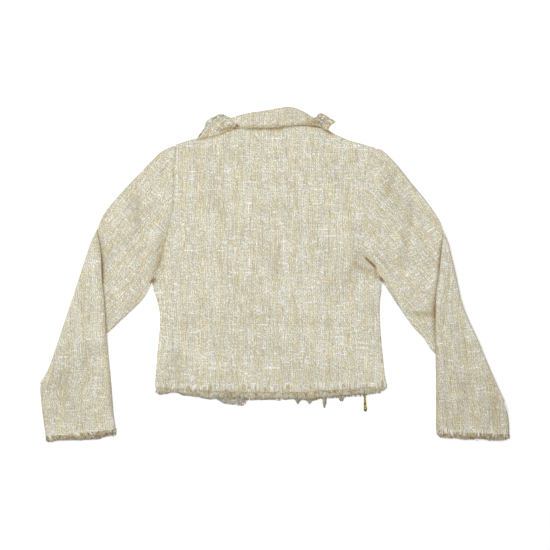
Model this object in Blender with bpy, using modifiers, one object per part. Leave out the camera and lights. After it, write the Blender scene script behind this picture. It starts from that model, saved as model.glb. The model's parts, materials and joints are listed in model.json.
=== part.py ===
"""A cropped tweed jacket lying face down on a flat surface, with both sleeves folded over at the elbow.

Sizes in the tables are millimetres, and the meshes are made in metres. +Z is up from the surface, +Y runs
towards the collar and +X towards the wearer's right sleeve. The fronts lie on the surface with a flat
underside. The back lies over them, and its rounded rim closes the sides and the shoulders. Each sleeve is a
flattened tube. It is folded over at the elbow, so that its lower half lies on its upper half.
"""

import math

import bmesh
import bpy
import numpy as np
from mathutils import Matrix, Vector

MM = 0.001

# Cloth
CLOTH = 2.0  # wall of the tweed
SEAM_GAP = 0.3  # between neighbouring pieces
ARMHOLE_GAP = 0.45  # between the sleeve's head and the armhole's edge
ARMHOLE_END_GAP = 1.3  # the same at the shoulder and the underarm, where the back's rim begins
ARMHOLE_END_LENGTH = 6.0  # over which one becomes the other
LOFT = 3.2  # underside of the upper layer above the surface
LOFT_LOW = 2.45
LOFT_HIGH = 5.6
FOLD_LOFT = 2.6  # the same inside a folded sleeve
FOLD_RADIUS = 0.5  # between the two halves of a folded sleeve

# Rounded rim of the back along the side seams and the shoulders
RIM_RADIUS = 5.0
RIM_FOOT = 0.2
RIM_STEPS = (0.0, 0.4, 1.2, 2.6, 5.0, 9.5)
FRONT_INSET = 1.8

# Self fringe
STRIP_WIDTH = 3.0
STRIP_THICK = 1.5
LOCK_SEED = 11
LONG_LOCKS = {0.02: 18.0, 0.17: 19.0, 0.41: 24.0, 0.66: 14.0}  # frayed points of the overlap's hem

# Outline of the back: x and y of each corner, left to right or top to bottom
SHOULDER_LEFT = ((-182, 240), (-164, 246), (-142, 251), (-112, 256), (-93, 262), (-69, 273))
NECK_SEAM = ((-69, 273), (-53, 276), (-27, 278), (14, 279), (47, 278), (75, 275), (97, 267))
SHOULDER_RIGHT = ((97, 267), (112, 258), (136, 248), (160, 241), (184, 234))
ARMHOLE_LEFT = (
    (-182, 240), (-185, 206), (-187, 173), (-186, 143), (-190, 117), (-197, 86), (-205, 55), (-214, 20),
    (-228, -13),
)
ARMHOLE_RIGHT = (
    (184, 234), (173, 204), (165, 173), (164, 120), (160, 84), (155, 55), (159, 32), (175, 10), (198, -13),
)
SIDE_LEFT = ((-226, -17), (-217, -42), (-211, -69), (-211, -101), (-216, -154), (-219, -193), (-219, -208))
SIDE_RIGHT = ((196, -17), (192, -55), (193, -99), (198, -154), (202, -188), (206, -204))
HEM_BACK = (
    (-219, -208), (-175, -210), (-110, -214), (-45, -216), (19, -216), (84, -214), (140, -210), (186, -206),
    (206, -204),
)
UNDERARM = 0.56  # share of the back's length above the underarm

# Outline of the fronts, from the neck down their free edges, and their hems
FRONT_EDGE_LEFT = (
    (-68, 272), (-58, 245), (-42, 215), (-27, 180), (-22, 120), (-26, 0), (-38, -130), (-50, -226),
)
FRONT_EDGE_RIGHT = ((96, 266), (80, 240), (56, 210), (34, 175), (30, 120), (34, 0), (40, -130), (43, -217))
ZIP_LINE = ((118, 250), (122, 200), (128, 120), (138, 20), (152, -90), (166.2, -214))
HEM_FRONT_LEFT = (
    (-219, -208), (-175, -211), (-140, -216), (-115, -224), (-92, -233), (-63, -236), (-50, -226),
)
HEM_OVERLAP = ((43, -217), (80, -218), (120, -215), (161, -211))
HEM_FRONT_RIGHT = ((171, -210), (186, -207), (206, -204))
ZIP_SLOT = 4.8  # half width of the slot that the zip fills
ZIP_TOP = 0.24  # share of the right shoulder at which the zip starts

# Collar, one row for each station from left to right
COLLAR = (
    # seam_x, seam_y, roll_x, roll_y, fall_x, fall_y
    (-70, 274, -81, 290, -71, 271),
    (-52, 277, -52, 299, -47, 269),
    (-27, 279, -24, 303, -24, 268),
    (1, 279.5, 3, 308, 2, 268),
    (29, 279.5, 29, 311, 28, 272),
    (50, 278.5, 49, 304, 52, 275),
    (70, 276.5, 66, 293, 72, 275),
    (86, 273, 78, 287, 88, 272),
)
COLLAR_STATIONS = 17
FALL_CLEAR = 1.1  # between the back and the fall that lies on it
ROLL_RADIUS = 0.8

# Turned collar ends, which lie on the surface under the shoulders: root and tip lines, left to right
END_LEFT_TIP = ((-144, 254), (-132, 270), (-127, 283), (-115, 292), (-99, 297), (-82, 292))
END_LEFT_ROOT = ((-139, 243), (-118, 246), (-98, 250), (-82, 256), (-74, 262), (-68, 269))
END_LEFT_SIDES = (((-144, 254), (-139, 243)), ((-82, 292), (-73, 280), (-68, 269)))
END_RIGHT_TIP = ((70, 290), (77, 293), (84, 300), (99, 292), (113, 284))
END_RIGHT_ROOT = ((62, 267), (72, 262), (86, 258), (98, 255), (104, 254))
END_RIGHT_SIDES = (((70, 290), (62, 267)), ((113, 284), (102, 276), (99, 267), (104, 254)))
UNDER_SHOULDERS = (
    # centre_x, centre_y, half_width_x, half_width_y of the area raised by a collar end
    (-106, 264, 40, 32),
    (86, 270, 30, 26),
)
RAISED = 2.4

# Sleeves: outer edge from the shoulder, underarm edge, fold, cuff and forearm edges
SLEEVES = {
    "left": {
        "outer": (
            (-182, 240), (-194, 236), (-211, 227), (-230, 209), (-246, 192),
            (-270, 168), (-292, 144), (-317, 115), (-333, 86),
        ),
        "underarm": (
            (-228, -13), (-236, -31), (-245, -45), (-262, -62), (-290, -88), (-310, -106),
            (-369, -151), (-431, -197),
        ),
        "fold": ((-333, 86), (-339, 66), (-345, 46), (-371, -34), (-400, -121), (-417, -170), (-434, -200)),
        "inner": (
            (-332, 84), (-323, 42), (-319, -12), (-315, -42), (-311, -106), (-307, -152),
            (-302, -205), (-298, -255), (-294, -284),
        ),
        "free": ((-434, -200), (-436, -214), (-434, -235), (-430, -266), (-425, -298)),
        "cuff": ((-294, -284), (-325, -288), (-369, -293), (-425, -298)),
    },
    "right": {
        "outer": (
            (184, 234), (194, 233), (205, 225), (225, 205), (254, 169), (278, 140), (306, 103), (315, 84),
        ),
        "underarm": (
            (198, -13), (203, -17), (225, -43), (236, -65), (254, -93), (278, -119),
            (297, -145), (362, -190), (422, -232),
        ),
        "fold": (
            (315, 84), (320, 66), (324, 45), (333, 8), (345, -47), (358, -82), (377, -123),
            (391, -158), (413, -208), (425, -234),
        ),
        "inner": (
            (314, 84), (311, 58), (308, 36), (304, 3), (298, -34), (296, -90), (297, -145),
            (298, -200), (298, -262), (298, -285),
        ),
        "free": ((425, -234), (430, -250), (434, -268), (435, -284), (435, -294)),
        "cuff": ((298, -285), (338, -290), (389, -292), (435, -294)),
    },
}
SLEEVE_RING = 9  # points across one layer of the tube
UPPER_STEPS = 9
FOLD_STEPS = 4
LOWER_STEPS = 8
NEAR_FOLD = 6  # power that keeps the narrowing towards the fold beside it
DROP_LENGTH = 30.0  # over which a forearm comes down to the surface

# Soft folds of the upper layer
FOLDS = (
    # start_x, start_y, end_x, end_y, half_width, height
    (-243, 168, -254, 80, 10, -0.7),  # along the left upper sleeve
    (-200, 120, -229, 20, 7, 1.3),  # sleeve's fullness beside the left armhole
    (-194, 110, -214, 25, 4, -0.6),
    (233, 193, 195, 147, 8, -0.8),  # across the right sleeve's head
    (255, 129, 241, 36, 9, -0.8),
    (269, -75, 291, -80, 6, -0.8),
    (205, 90, 186, 40, 12, 1.6),  # fullness above the right underarm
    (171, 30, 196, -8, 4, -1.5),
    (143, 30, 178, 8, 9, -0.9),
    (143, -1, 130, -40, 8, -0.8),  # drag fold below the right underarm
    (160, -5, 150, -55, 9, 1.0),
    (97, -140, 95, -176, 18, 0.9),
    (16, 36, 14, -6, 12, -0.5),
    (-119, 150, -110, 120, 16, -0.5),
    (110, 190, 78, 160, 14, -0.6),
    (-160, -120, -175, -180, 14, 0.7),
    (-60, 90, -70, 20, 20, 0.5),
)
FOREARM_FOLDS = (
    # start_x, start_y, end_x, end_y, half_width, height
    (-392, -190, -366, -235, 20, -0.6),
    (-345, -60, -362, -150, 14, 0.9),
    (-318, -170, -316, -240, 9, 0.7),
    (340, -120, 356, -190, 14, -0.6),
    (388, -215, 410, -265, 12, -0.6),
    (326, -180, 334, -262, 10, 0.9),
    (370, -210, 384, -280, 9, 0.8),
)
RIPPLES = (
    # wave_x, wave_y, phase, height
    (0.031, 0.012, 0.4, 0.28),
    (-0.017, 0.036, 2.1, 0.22),
    (0.058, -0.027, 4.0, 0.12),
)
SAG_LEFT, SAG_RIGHT = -48.0, 46.0  # the back sinks between the fronts' free edges
SAG = 1.7

# Zip pull and slider, in their own frame: x across, y along the zip, z up, pin at the origin
PIN_PLACE = (166.2, -224.6, 1.85)
PIN_TURN = math.radians(3.0)
PIN_RADIUS = 0.6
EYE_INNER, EYE_OUTER, EYE_WIDTH = 0.95, 1.7, 2.4
TAB_OUTLINE = ((1.5, 0.0), (2.0, -8.0), (2.7, -16.0), (3.1, -21.0), (2.6, -24.4), (1.1, -26.0))
TAB_THICK = 1.2
TAB_HOLE_PLACE, TAB_HOLE_RADIUS = -22.0, 1.1
SLIDER_SIZE = (7.0, 9.0, 3.2)
SLIDER_START = 2.6
LUG_SIZE = (0.9, 3.4, 1.8)

PLAIN_MATERIALS = {
    # name: (base colour, roughness, metallic)
    "tweed": ((0.70, 0.65, 0.52, 1.0), 0.9, 0.0),
    "tweed_wrong_side": ((0.62, 0.58, 0.48, 1.0), 0.9, 0.0),
    "fringe_yarn": ((0.74, 0.70, 0.60, 1.0), 0.9, 0.0),
    "zip_tape": ((0.62, 0.57, 0.46, 1.0), 0.8, 0.0),
    "brass": ((0.55, 0.38, 0.14, 1.0), 0.35, 1.0),
}


def smooth_step(value, low=0.0, high=1.0):
    share = np.clip((value - low) / (high - low), 0.0, 1.0)
    return share * share * (3 - 2 * share)


def curve_through(corners, samples=24):
    """A function from 0..1 to the point at that share of a smooth curve's length."""
    p = np.array(corners, float)
    p = np.vstack([2 * p[0] - p[1], p, 2 * p[-1] - p[-2]])
    t = np.linspace(0, 1, samples, endpoint=False)[:, None]
    runs = []
    for a, b, c, d in zip(p, p[1:], p[2:], p[3:]):
        bend, twist = 2 * a - 5 * b + 4 * c - d, 3 * b - a - 3 * c + d
        runs.append(0.5 * (2 * b + (c - a) * t + bend * t**2 + twist * t**3))
    line = np.vstack([*runs, p[-2:-1]])
    along = np.concatenate([[0], np.cumsum(np.linalg.norm(np.diff(line, axis=0), axis=1))])
    along /= along[-1]

    def at(share):
        return np.stack([np.interp(share, along, line[:, k]) for k in range(line.shape[1])], axis=-1)

    return at


def joined(first, second, meet):
    """One curve function that follows first up to the share meet, and second after it."""

    def at(share):
        share = np.asarray(share, float)
        before = first(np.clip(share / meet, 0, 1))
        after = second(np.clip((share - meet) / (1 - meet), 0, 1))
        return np.where((share <= meet)[..., None], before, after)

    return at


def offset_curve(curve, distance):
    """The curve moved sideways, to its left as it runs for a positive distance."""

    def at(share):
        share = np.asarray(share, float)
        run = curve(np.clip(share + 0.01, 0, 1)) - curve(np.clip(share - 0.01, 0, 1))
        run /= np.linalg.norm(run, axis=-1, keepdims=True)
        return curve(share) + distance * np.stack([-run[..., 1], run[..., 0]], axis=-1)

    return at


def patch(top, bottom, left, right):
    """A surface in plan between four edge curves: u runs left to right and v from top to bottom."""

    def at(u, v):
        u, v = np.broadcast_arrays(np.asarray(u, float), np.asarray(v, float))
        a, b = u[..., None], v[..., None]
        upper, lower = (1 - a) * top(0.0) + a * top(1.0), (1 - a) * bottom(0.0) + a * bottom(1.0)
        between_sides = (1 - a) * left(v) + a * right(v)
        return (1 - b) * (top(u) - upper) + b * (bottom(u) - lower) + between_sides

    return at


def from_line(place, start, end):
    """Distance of each place from a stretch of line, and the share of the line that is nearest."""
    start, run = np.array(start, float), np.array(end, float) - np.array(start, float)
    share = np.clip(((place - start) @ run) / (run @ run), 0, 1)
    return np.linalg.norm(place - start - share[..., None] * run, axis=-1), share


def folds_at(place, table):
    height = np.zeros(place.shape[:-1])
    for start_x, start_y, end_x, end_y, half_width, rise in table:
        away, share = from_line(place, (start_x, start_y), (end_x, end_y))
        height += rise * np.exp(-((away / half_width) ** 2)) * (0.75 + 0.25 * np.sin(math.pi * share))
    return height


def ripples_at(place):
    x, y = place[..., 0], place[..., 1]
    return sum(height * np.sin(wave_x * x + wave_y * y + phase) for wave_x, wave_y, phase, height in RIPPLES)


def raised_at(place):
    """How far the cloth over a turned collar end is lifted off the surface."""
    height = np.zeros(place.shape[:-1])
    for centre_x, centre_y, half_x, half_y in UNDER_SHOULDERS:
        away = np.hypot((place[..., 0] - centre_x) / half_x, (place[..., 1] - centre_y) / half_y)
        height = np.maximum(height, RAISED * (1 - smooth_step(away, 1.25, 1.75)))
    return height


def loft_at(place):
    """Underside of the body's and upper sleeves' upper layer above their lower layer's underside."""
    height = LOFT + ripples_at(place) + folds_at(place, FOLDS)
    height = np.clip(height, LOFT_LOW, LOFT_HIGH)
    across = np.sin(math.pi * np.clip((place[..., 0] - SAG_LEFT) / (SAG_RIGHT - SAG_LEFT), 0, 1)) ** 2
    height = height - SAG * across * (1 - smooth_step(place[..., 1], 120, 200))
    pin_x, pin_y, _ = PIN_PLACE
    near_slider = np.exp(-(((place[..., 0] - pin_x) / 16) ** 2 + ((place[..., 1] - pin_y) / 22) ** 2))
    return height + 1.9 * near_slider


def plain_material(name):
    colour, roughness, metallic = PLAIN_MATERIALS[name]
    material = bpy.data.materials.get(name) or bpy.data.materials.new(name)
    material.use_nodes = True
    material.diffuse_color = colour
    shader = material.node_tree.nodes["Principled BSDF"]
    shader.inputs["Base Color"].default_value = colour
    shader.inputs["Roughness"].default_value = roughness
    shader.inputs["Metallic"].default_value = metallic
    return material


def add_object(name, mesh, material, collection):
    piece = bpy.data.objects.new(name, mesh)
    mesh.materials.append(plain_material(material))
    collection.objects.link(piece)
    return piece


def mesh_from(bm, name, smooth=True):
    mesh = bpy.data.meshes.new(name)
    bm.to_mesh(mesh)
    bm.free()
    if smooth:
        mesh.shade_smooth()
        mesh.set_sharp_from_angle(angle=math.radians(50))
    return mesh


def cloth_sheet(name, points, material, collection, thickness=CLOTH):
    """A wall of cloth on a grid of points given in millimetres, rows by columns by xyz.

    The points are the wall's underside, or its inner face where the cloth rolls over."""
    rows, columns = points.shape[:2]
    bm = bmesh.new()
    grid = bmesh.ops.create_grid(bm, x_segments=columns - 1, y_segments=rows - 1, size=1.0)
    for vert in grid["verts"]:
        column = round((vert.co.x + 1) / 2 * (columns - 1))
        row = round((1 - vert.co.y) / 2 * (rows - 1))
        vert.co = Vector(points[row, column]) * MM
    bm.normal_update()
    if sum(face.normal.z * face.calc_area() for face in bm.faces) < 0:
        bmesh.ops.reverse_faces(bm, faces=bm.faces)
    piece = add_object(name, mesh_from(bm, name), material, collection)
    wall = piece.modifiers.new("wall", "SOLIDIFY")
    wall.thickness = thickness * MM
    wall.offset = 1.0
    wall.use_even_offset = True
    return piece


def grid_of(plan, height, u, v):
    """Points of a sheet in rows: plan gives x and y, and height(place, u, v) gives z."""
    u, v = np.meshgrid(u, v)
    place = plan(u, v)
    return np.dstack([place, height(place, u, v)])


def rim_profile(distance):
    """Share of the full height at a distance in from a rounded rim's foot."""
    return (1 - np.clip(1 - distance / RIM_RADIUS, 0, 1) ** 4) ** 0.25


def rim_shares(length, steps):
    """Shares of a side with a rim's close steps at both its ends."""
    close = np.array(RIM_STEPS) / length
    return np.concatenate([close, np.linspace(close[-1], 1 - close[-1], steps)[1:-1], 1 - close[::-1]])


BACK_COLUMNS = 18
FRONT_COLUMNS = {"front_left": 12, "front_right_overlap": 10, "front_right": 4}

# Shares of the top edge where the shoulders meet the neck, and over which their rim ends there
NECK_LEFT, NECK_RIGHT = 0.315, 0.755
NECK_BLEND = 0.03
# Shares of the length past the underarm where the side seam's rim starts and is whole
SEAM_START, SEAM_FULL = 0.014, 0.05
BACK_WIDTH, BACK_LENGTH, ARMHOLE_LENGTH = 410.0, 470.0, 262.0
side_left = joined(curve_through(ARMHOLE_LEFT), curve_through(SIDE_LEFT), UNDERARM)
side_right = joined(curve_through(ARMHOLE_RIGHT), curve_through(SIDE_RIGHT), UNDERARM)
neck_share = (NECK_RIGHT - NECK_LEFT) / (1 - NECK_LEFT)
neck_and_right = joined(curve_through(NECK_SEAM), curve_through(SHOULDER_RIGHT), neck_share)
back_top = joined(curve_through(SHOULDER_LEFT), neck_and_right, NECK_LEFT)
back_plan = patch(back_top, curve_through(HEM_BACK), side_left, side_right)


def armhole_shares():
    """Shares of the armhole at which body and sleeve have their points, so that their edges run alike."""
    end = (FOLD_LOFT + CLOTH) / 2 / ARMHOLE_LENGTH
    return np.linspace(end, 1 - end, SLEEVE_RING)


def rows_down(first, below):
    """Shares of a panel's length: the first rows, the armhole's own, the underarm and those below it."""
    beside_armhole = armhole_shares()[1:] * UNDERARM
    at_underarm = (UNDERARM, UNDERARM + SEAM_START)
    beside_seam = np.linspace(UNDERARM + SEAM_FULL, 1, below)
    return np.concatenate([first, beside_armhole, at_underarm, beside_seam])


def back_height(place, u, v):
    beside_seam = smooth_step(v, UNDERARM + SEAM_START, UNDERARM + SEAM_FULL)
    before_right = 1 - smooth_step(u, NECK_RIGHT, NECK_RIGHT + NECK_BLEND)
    on_shoulder = 1 - smooth_step(u, NECK_LEFT - NECK_BLEND, NECK_LEFT) * before_right
    sides = rim_profile(np.minimum(u, 1 - u) * BACK_WIDTH)
    shoulders = rim_profile(v * BACK_LENGTH)
    share = (1 - beside_seam * (1 - sides)) * (1 - on_shoulder * (1 - shoulders))
    return raised_at(place) + RIM_FOOT + (loft_at(place) - RIM_FOOT) * share


def make_back(collection):
    u = rim_shares(BACK_WIDTH, BACK_COLUMNS)
    v = rows_down(np.array(RIM_STEPS) / BACK_LENGTH, 10)
    cloth_sheet("back", grid_of(back_plan, back_height, u, v), "tweed", collection)


def front_height(place, u, v):
    return raised_at(place)


def make_fronts(collection):
    """Three plain panels on the surface. The zip's slot parts the right front from its overlap."""
    zip_line = curve_through(ZIP_LINE)
    side_seam_left = offset_curve(curve_through(SIDE_LEFT), FRONT_INSET)
    inner_left = joined(curve_through(ARMHOLE_LEFT), side_seam_left, UNDERARM)
    side_seam_right = offset_curve(curve_through(SIDE_RIGHT), -FRONT_INSET)
    inner_right = joined(curve_through(ARMHOLE_RIGHT), side_seam_right, UNDERARM)
    shoulder_left, shoulder_right = curve_through(SHOULDER_LEFT), curve_through(SHOULDER_RIGHT)
    slot_left, slot_right = offset_curve(zip_line, -ZIP_SLOT), offset_curve(zip_line, ZIP_SLOT)
    panels = (
        # name, top, hem, left edge, right edge
        ("front_left", shoulder_left, HEM_FRONT_LEFT, inner_left, curve_through(FRONT_EDGE_LEFT)),
        (
            "front_right_overlap",
            lambda share: shoulder_right(share * ZIP_TOP),
            HEM_OVERLAP,
            curve_through(FRONT_EDGE_RIGHT),
            slot_left,
        ),
        (
            "front_right",
            lambda share: shoulder_right(ZIP_TOP + (1 - ZIP_TOP) * share),
            HEM_FRONT_RIGHT,
            slot_right,
            inner_right,
        ),
    )
    hems = {}
    rows = rows_down(np.array([armhole_shares()[0] * UNDERARM, RIM_STEPS[-1] / BACK_LENGTH]), 7)
    for name, top, hem, left, right in panels:
        bottom = curve_through(hem)
        ends = (left(0.0), right(0.0), left(1.0), right(1.0))
        top, bottom = pinned(top, ends[0], ends[1]), pinned(bottom, ends[2], ends[3])
        columns = np.linspace(0, 1, FRONT_COLUMNS[name])
        points = grid_of(patch(top, bottom, left, right), front_height, columns, rows)
        cloth_sheet(name, points, "tweed", collection)
        hems[name] = chords(bottom, columns)
    return hems


def chords(curve, shares):
    """The curve as a sheet's cut edge has it: straight between its points at these shares."""
    points = curve(shares)
    return lambda share: np.stack([np.interp(share, shares, points[:, k]) for k in range(2)], axis=-1)


def pinned(curve, start, end, near=1):
    """The curve bent so that it starts and ends at these points. A higher near bends only its ends."""

    def at(share):
        share = np.asarray(share, float)[..., None]
        shift = (1 - share) ** near * (start - curve(0.0)) + share**near * (end - curve(1.0))
        return curve(share[..., 0]) + shift

    return at


def make_collar(collection):
    """The stand rises from the neck seam to the roll line, and the fall comes back over it onto the back."""
    table = np.array(COLLAR, float)
    seam, roll, fall = (curve_through(table[:, k : k + 2]) for k in (0, 2, 4))
    stations = np.linspace(0, 1, COLLAR_STATIONS)
    rows = []
    for share in stations:
        s, r, f = seam(share), roll(share), fall(share)
        out = (r - s) / np.linalg.norm(r - s)
        s = s + out * (SEAM_GAP + 0.1)
        high = float(loft_at(s) + raised_at(s)) + CLOTH
        low = CLOTH + SEAM_GAP / 2 + float(raised_at(r))
        over_back = float(loft_at(f) + raised_at(f)) + CLOTH + FALL_CLEAR
        section = [
            (*s, high),
            (*(s + 0.35 * (r - s)), 0.55 * high + 0.45 * low),
            (*(s + 0.72 * (r - s)), low + 0.1),
            (*(r - out * (ROLL_RADIUS + 2)), low),
            (*(r - out * 2), low + 0.25 * ROLL_RADIUS),
            (*(r - out * 1.6), low + ROLL_RADIUS),
            (*(r - out * 2), low + 1.75 * ROLL_RADIUS),
            (*(r - out * (ROLL_RADIUS + 2)), low + 2 * ROLL_RADIUS),
            (*(s + 0.72 * (r - s)), low + 2 * ROLL_RADIUS + 0.5),
            (*(s + 0.35 * (r - s)), max(0.4 * over_back + 0.6 * (low + 3.0), 0.55 * high + 0.45 * low + 0.6)),
            (*s, max(over_back, high + 0.5)),
            (*(s + 0.5 * (f - s)), max(over_back, high + 0.5)),
            (*f, over_back),
        ]
        rows.append(section)
    cloth_sheet("collar", np.array(rows), "tweed", collection)


def collar_end_height(place, u, v):
    """A turned end lies flat, and the middle of its free edge curls up a little."""
    return 1.6 * smooth_step(1 - v, 0.6, 1.0) * np.sin(math.pi * u) ** 2


def make_collar_ends(collection):
    """Two ends of the collar, turned out flat under the shoulders with their wrong side up."""
    ends = (
        ("collar_end_left", END_LEFT_TIP, END_LEFT_ROOT, END_LEFT_SIDES),
        ("collar_end_right", END_RIGHT_TIP, END_RIGHT_ROOT, END_RIGHT_SIDES),
    )
    for name, tip, root, sides in ends:
        plan = patch(*(curve_through(line) for line in (tip, root, *sides)))
        points = grid_of(plan, collar_end_height, np.linspace(0, 1, 9), np.linspace(0, 1, 7))
        cloth_sheet(name, points, "tweed_wrong_side", collection, thickness=CLOTH - 0.2)


def sleeve_sections(side):
    """The sleeve's plan before and after its fold, and the fold's own line."""
    table = SLEEVES[side]
    turn = 1.0 if side == "left" else -1.0
    height = FOLD_LOFT + CLOTH
    fold = offset_curve(curve_through(table["fold"]), turn * (height + FOLD_RADIUS))
    armhole = curve_through(ARMHOLE_LEFT if side == "left" else ARMHOLE_RIGHT)

    def head(share):
        from_end = np.minimum(share, 1 - np.asarray(share)) * ARMHOLE_LENGTH
        near_end = np.exp(-from_end / ARMHOLE_END_LENGTH)[..., None]
        plain = offset_curve(armhole, -turn * ARMHOLE_GAP)(share)
        wide = offset_curve(armhole, -turn * ARMHOLE_END_GAP)(share)
        return plain + (wide - plain) * near_end

    outer = pinned(curve_through(table["outer"]), head(0.0), fold(0.0), near=NEAR_FOLD)
    underarm = pinned(curve_through(table["underarm"]), head(1.0), fold(1.0), near=NEAR_FOLD)
    cuff = curve_through(table["cuff"])
    inner = pinned(curve_through(table["inner"]), fold(0.0), cuff(0.0), near=NEAR_FOLD)
    free = pinned(curve_through(table["free"]), fold(1.0), cuff(1.0), near=NEAR_FOLD)
    return patch(head, fold, outer, underarm), patch(fold, cuff, inner, free), fold, turn


def ring_shares(width, across, height, gap):
    """Shares across a flattened tube and heights of its points, for its outer or inner face.

    The tube is height thick. gap is 0 for the outer face, and the wall's thickness for the inner one."""
    middle = height / 2
    radius = middle - gap
    end = middle / width
    straight = np.linspace(end, 1 - end, across)
    angles = np.radians((-45, 0, 45))
    round_share = radius / width * np.cos(angles)
    round_height = middle + radius * np.sin(angles)
    shares = np.concatenate([straight, 1 - end + round_share, straight[::-1], end - round_share])
    lower, upper = np.full(across, gap), np.full(across, height - gap)
    heights = np.concatenate([lower, round_height, upper, round_height[::-1]])
    return shares, heights


def closed_loft(name, outer, inner, material, collection):
    """A tube's wall: rings of the outer and inner face, joined at both open ends."""
    bm = bmesh.new()
    faces = []
    for rings in (outer, inner):
        faces.append([[bm.verts.new(Vector(p) * MM) for p in ring] for ring in rings])
    around = len(outer[0])
    for rings in faces:
        for ring, following in zip(rings, rings[1:]):
            for k in range(around):
                m = (k + 1) % around
                bm.faces.new((ring[k], ring[m], following[m], following[k]))
    for end in (0, -1):
        for k in range(around):
            m = (k + 1) % around
            bm.faces.new((faces[0][end][k], faces[0][end][m], faces[1][end][m], faces[1][end][k]))
    bmesh.ops.recalc_face_normals(bm, faces=bm.faces)
    return add_object(name, mesh_from(bm, name), material, collection)


def covered(side, place):
    """0 where the forearm lies over the upper sleeve, rising to 1 clear of it."""
    inner = curve_through(SLEEVES[side]["inner"])(np.linspace(0, 1, 60))
    edge_x = np.interp(place[..., 1], inner[::-1, 1], inner[::-1, 0])
    inward = (place[..., 0] - edge_x) * (1.0 if side == "left" else -1.0)
    past_elbow = smooth_step(place[..., 1], 70, 100)
    return np.maximum(smooth_step(inward, 4, 22), past_elbow * smooth_step(inward, -14, 22))


def off_upper_sleeve(side, place):
    """Distance past the upper sleeve's underarm edge, on the side of the cuff."""
    line = curve_through(SLEEVES[side]["underarm"])(np.linspace(0, 1, 80))
    order = np.argsort(line[:, 0])
    edge_y = np.interp(place[..., 0], line[order, 0], line[order, 1])
    steep = 0.79 if side == "left" else 0.74
    return (edge_y - place[..., 1]) * steep


def sleeve_ring(side, sections, stage, share, gap, across=SLEEVE_RING):
    """One ring of a sleeve's outer face (gap 0) or inner face, in a stage of its length.

    stage is 'upper', 'fold' or 'lower', and share runs from 0 to 1 along it."""
    upper, lower, fold, turn = sections
    plan = lower if stage == "lower" else upper
    along = 1.0 if stage == "fold" else share
    ends = plan(np.array([0.0, 1.0]), np.array([along, along]))
    width = np.linalg.norm(ends[1] - ends[0])
    shares, heights = ring_shares(width, across, FOLD_LOFT + CLOTH, gap)
    place = plan(shares, np.full_like(shares, along))
    top_share = heights / (FOLD_LOFT + CLOTH)
    if stage == "upper":
        extra = (loft_at(place) - FOLD_LOFT) * covered(side, place)
        z = heights + smooth_step(top_share, 0.3, 0.7) * extra
        return np.column_stack([place, z])
    if stage == "fold":
        reach = FOLD_LOFT + CLOTH + FOLD_RADIUS - heights
        angle = math.pi * share
        run = fold(np.clip(shares + 0.01, 0, 1)) - fold(np.clip(shares - 0.01, 0, 1))
        run /= np.linalg.norm(run, axis=1, keepdims=True)
        out = -turn * np.column_stack([-run[:, 1], run[:, 0]])
        xy = fold(shares) + out * (reach * math.sin(angle))[:, None]
        return np.column_stack([xy, FOLD_LOFT + CLOTH + FOLD_RADIUS - reach * math.cos(angle)])
    full = FOLD_LOFT + CLOTH + 2 * FOLD_RADIUS
    base = full * (1 - smooth_step(off_upper_sleeve(side, place), 0, DROP_LENGTH))
    away = smooth_step(share, 0.0, 0.25)
    crest = np.clip(0.5 + ripples_at(place) + folds_at(place, FOREARM_FOLDS), -0.15, 3.0) * away
    z = base + FOLD_LOFT + CLOTH - heights + smooth_step(1 - top_share, 0.3, 0.7) * crest
    return np.column_stack([place, z])


def make_sleeve(side, collection):
    sections = sleeve_sections(side)
    stages = [("upper", s) for s in np.linspace(0, 1, UPPER_STEPS + 1)]
    stages += [("fold", s) for s in np.linspace(0, 1, FOLD_STEPS + 1)[1:]]
    stages += [("lower", s) for s in np.linspace(0, 1, LOWER_STEPS + 1)[1:]]
    outer = [sleeve_ring(side, sections, stage, share, 0.0) for stage, share in stages]
    inner = [sleeve_ring(side, sections, stage, share, CLOTH) for stage, share in stages]
    closed_loft(f"sleeve_{side}", outer, inner, "tweed", collection)
    return sections


def fringe(name, near, far, lengths, tip_heights, lean, collection, closed=False):
    """A narrow strip with a row of tapering locks that are fused to it at their roots.

    near and far are the strip's two edges, each a list of (lower, upper) point pairs. Lock k grows from
    the far edge between pairs k and k + 1, away from the near edge, by lengths[k], and ends at the
    height tip_heights[k]. lean moves its tip sideways."""
    bm = bmesh.new()
    rows = [[[bm.verts.new(Vector(p) * MM) for p in pair] for pair in edge] for edge in (near, far)]
    count = len(near)
    spans = range(count if closed else count - 1)
    grown = []
    for k in spans:
        m = (k + 1) % count
        (a, b), (c, d) = rows[0][k], rows[0][m]
        (e, f), (g, h) = rows[1][k], rows[1][m]
        bm.faces.new((a, b, d, c))
        bm.faces.new((a, c, g, e))
        bm.faces.new((b, f, h, d))
        grown.append(bm.faces.new((e, g, h, f)))
    if not closed:
        for k in (0, -1):
            (a, b), (e, f) = rows[0][k], rows[1][k]
            bm.faces.new((a, e, f, b))
    bmesh.ops.recalc_face_normals(bm, faces=bm.faces)
    roots = [face.calc_center_median() for face in grown]
    starts = [sum((v.co for v in (*rows[0][k], *rows[0][(k + 1) % count])), Vector()) / 4 for k in spans]
    mids = bmesh.ops.extrude_discrete_faces(bm, faces=grown)["faces"]
    for k, (face, root, start) in enumerate(zip(mids, roots, starts)):
        away = root - start
        away.z = 0
        away.normalize()
        side = Vector((-away.y, away.x, 0))
        reach = lengths[k] * MM
        sink = (tip_heights[k] * MM - root.z) * 0.45
        centre = root + away * reach * 0.5 + side * lean[k] * MM * 0.35 + Vector((0, 0, sink))
        for vert in face.verts:
            vert.co = centre + (vert.co - root) * 0.72
        tip = root + away * reach + side * lean[k] * MM
        tip.z = tip_heights[k] * MM
        bmesh.ops.poke(bm, faces=[face])["verts"][0].co = tip
    return add_object(name, mesh_from(bm, name), "fringe_yarn", collection)


def uneven(count, low, high, random):
    return low + (high - low) * random.random(count)


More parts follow.
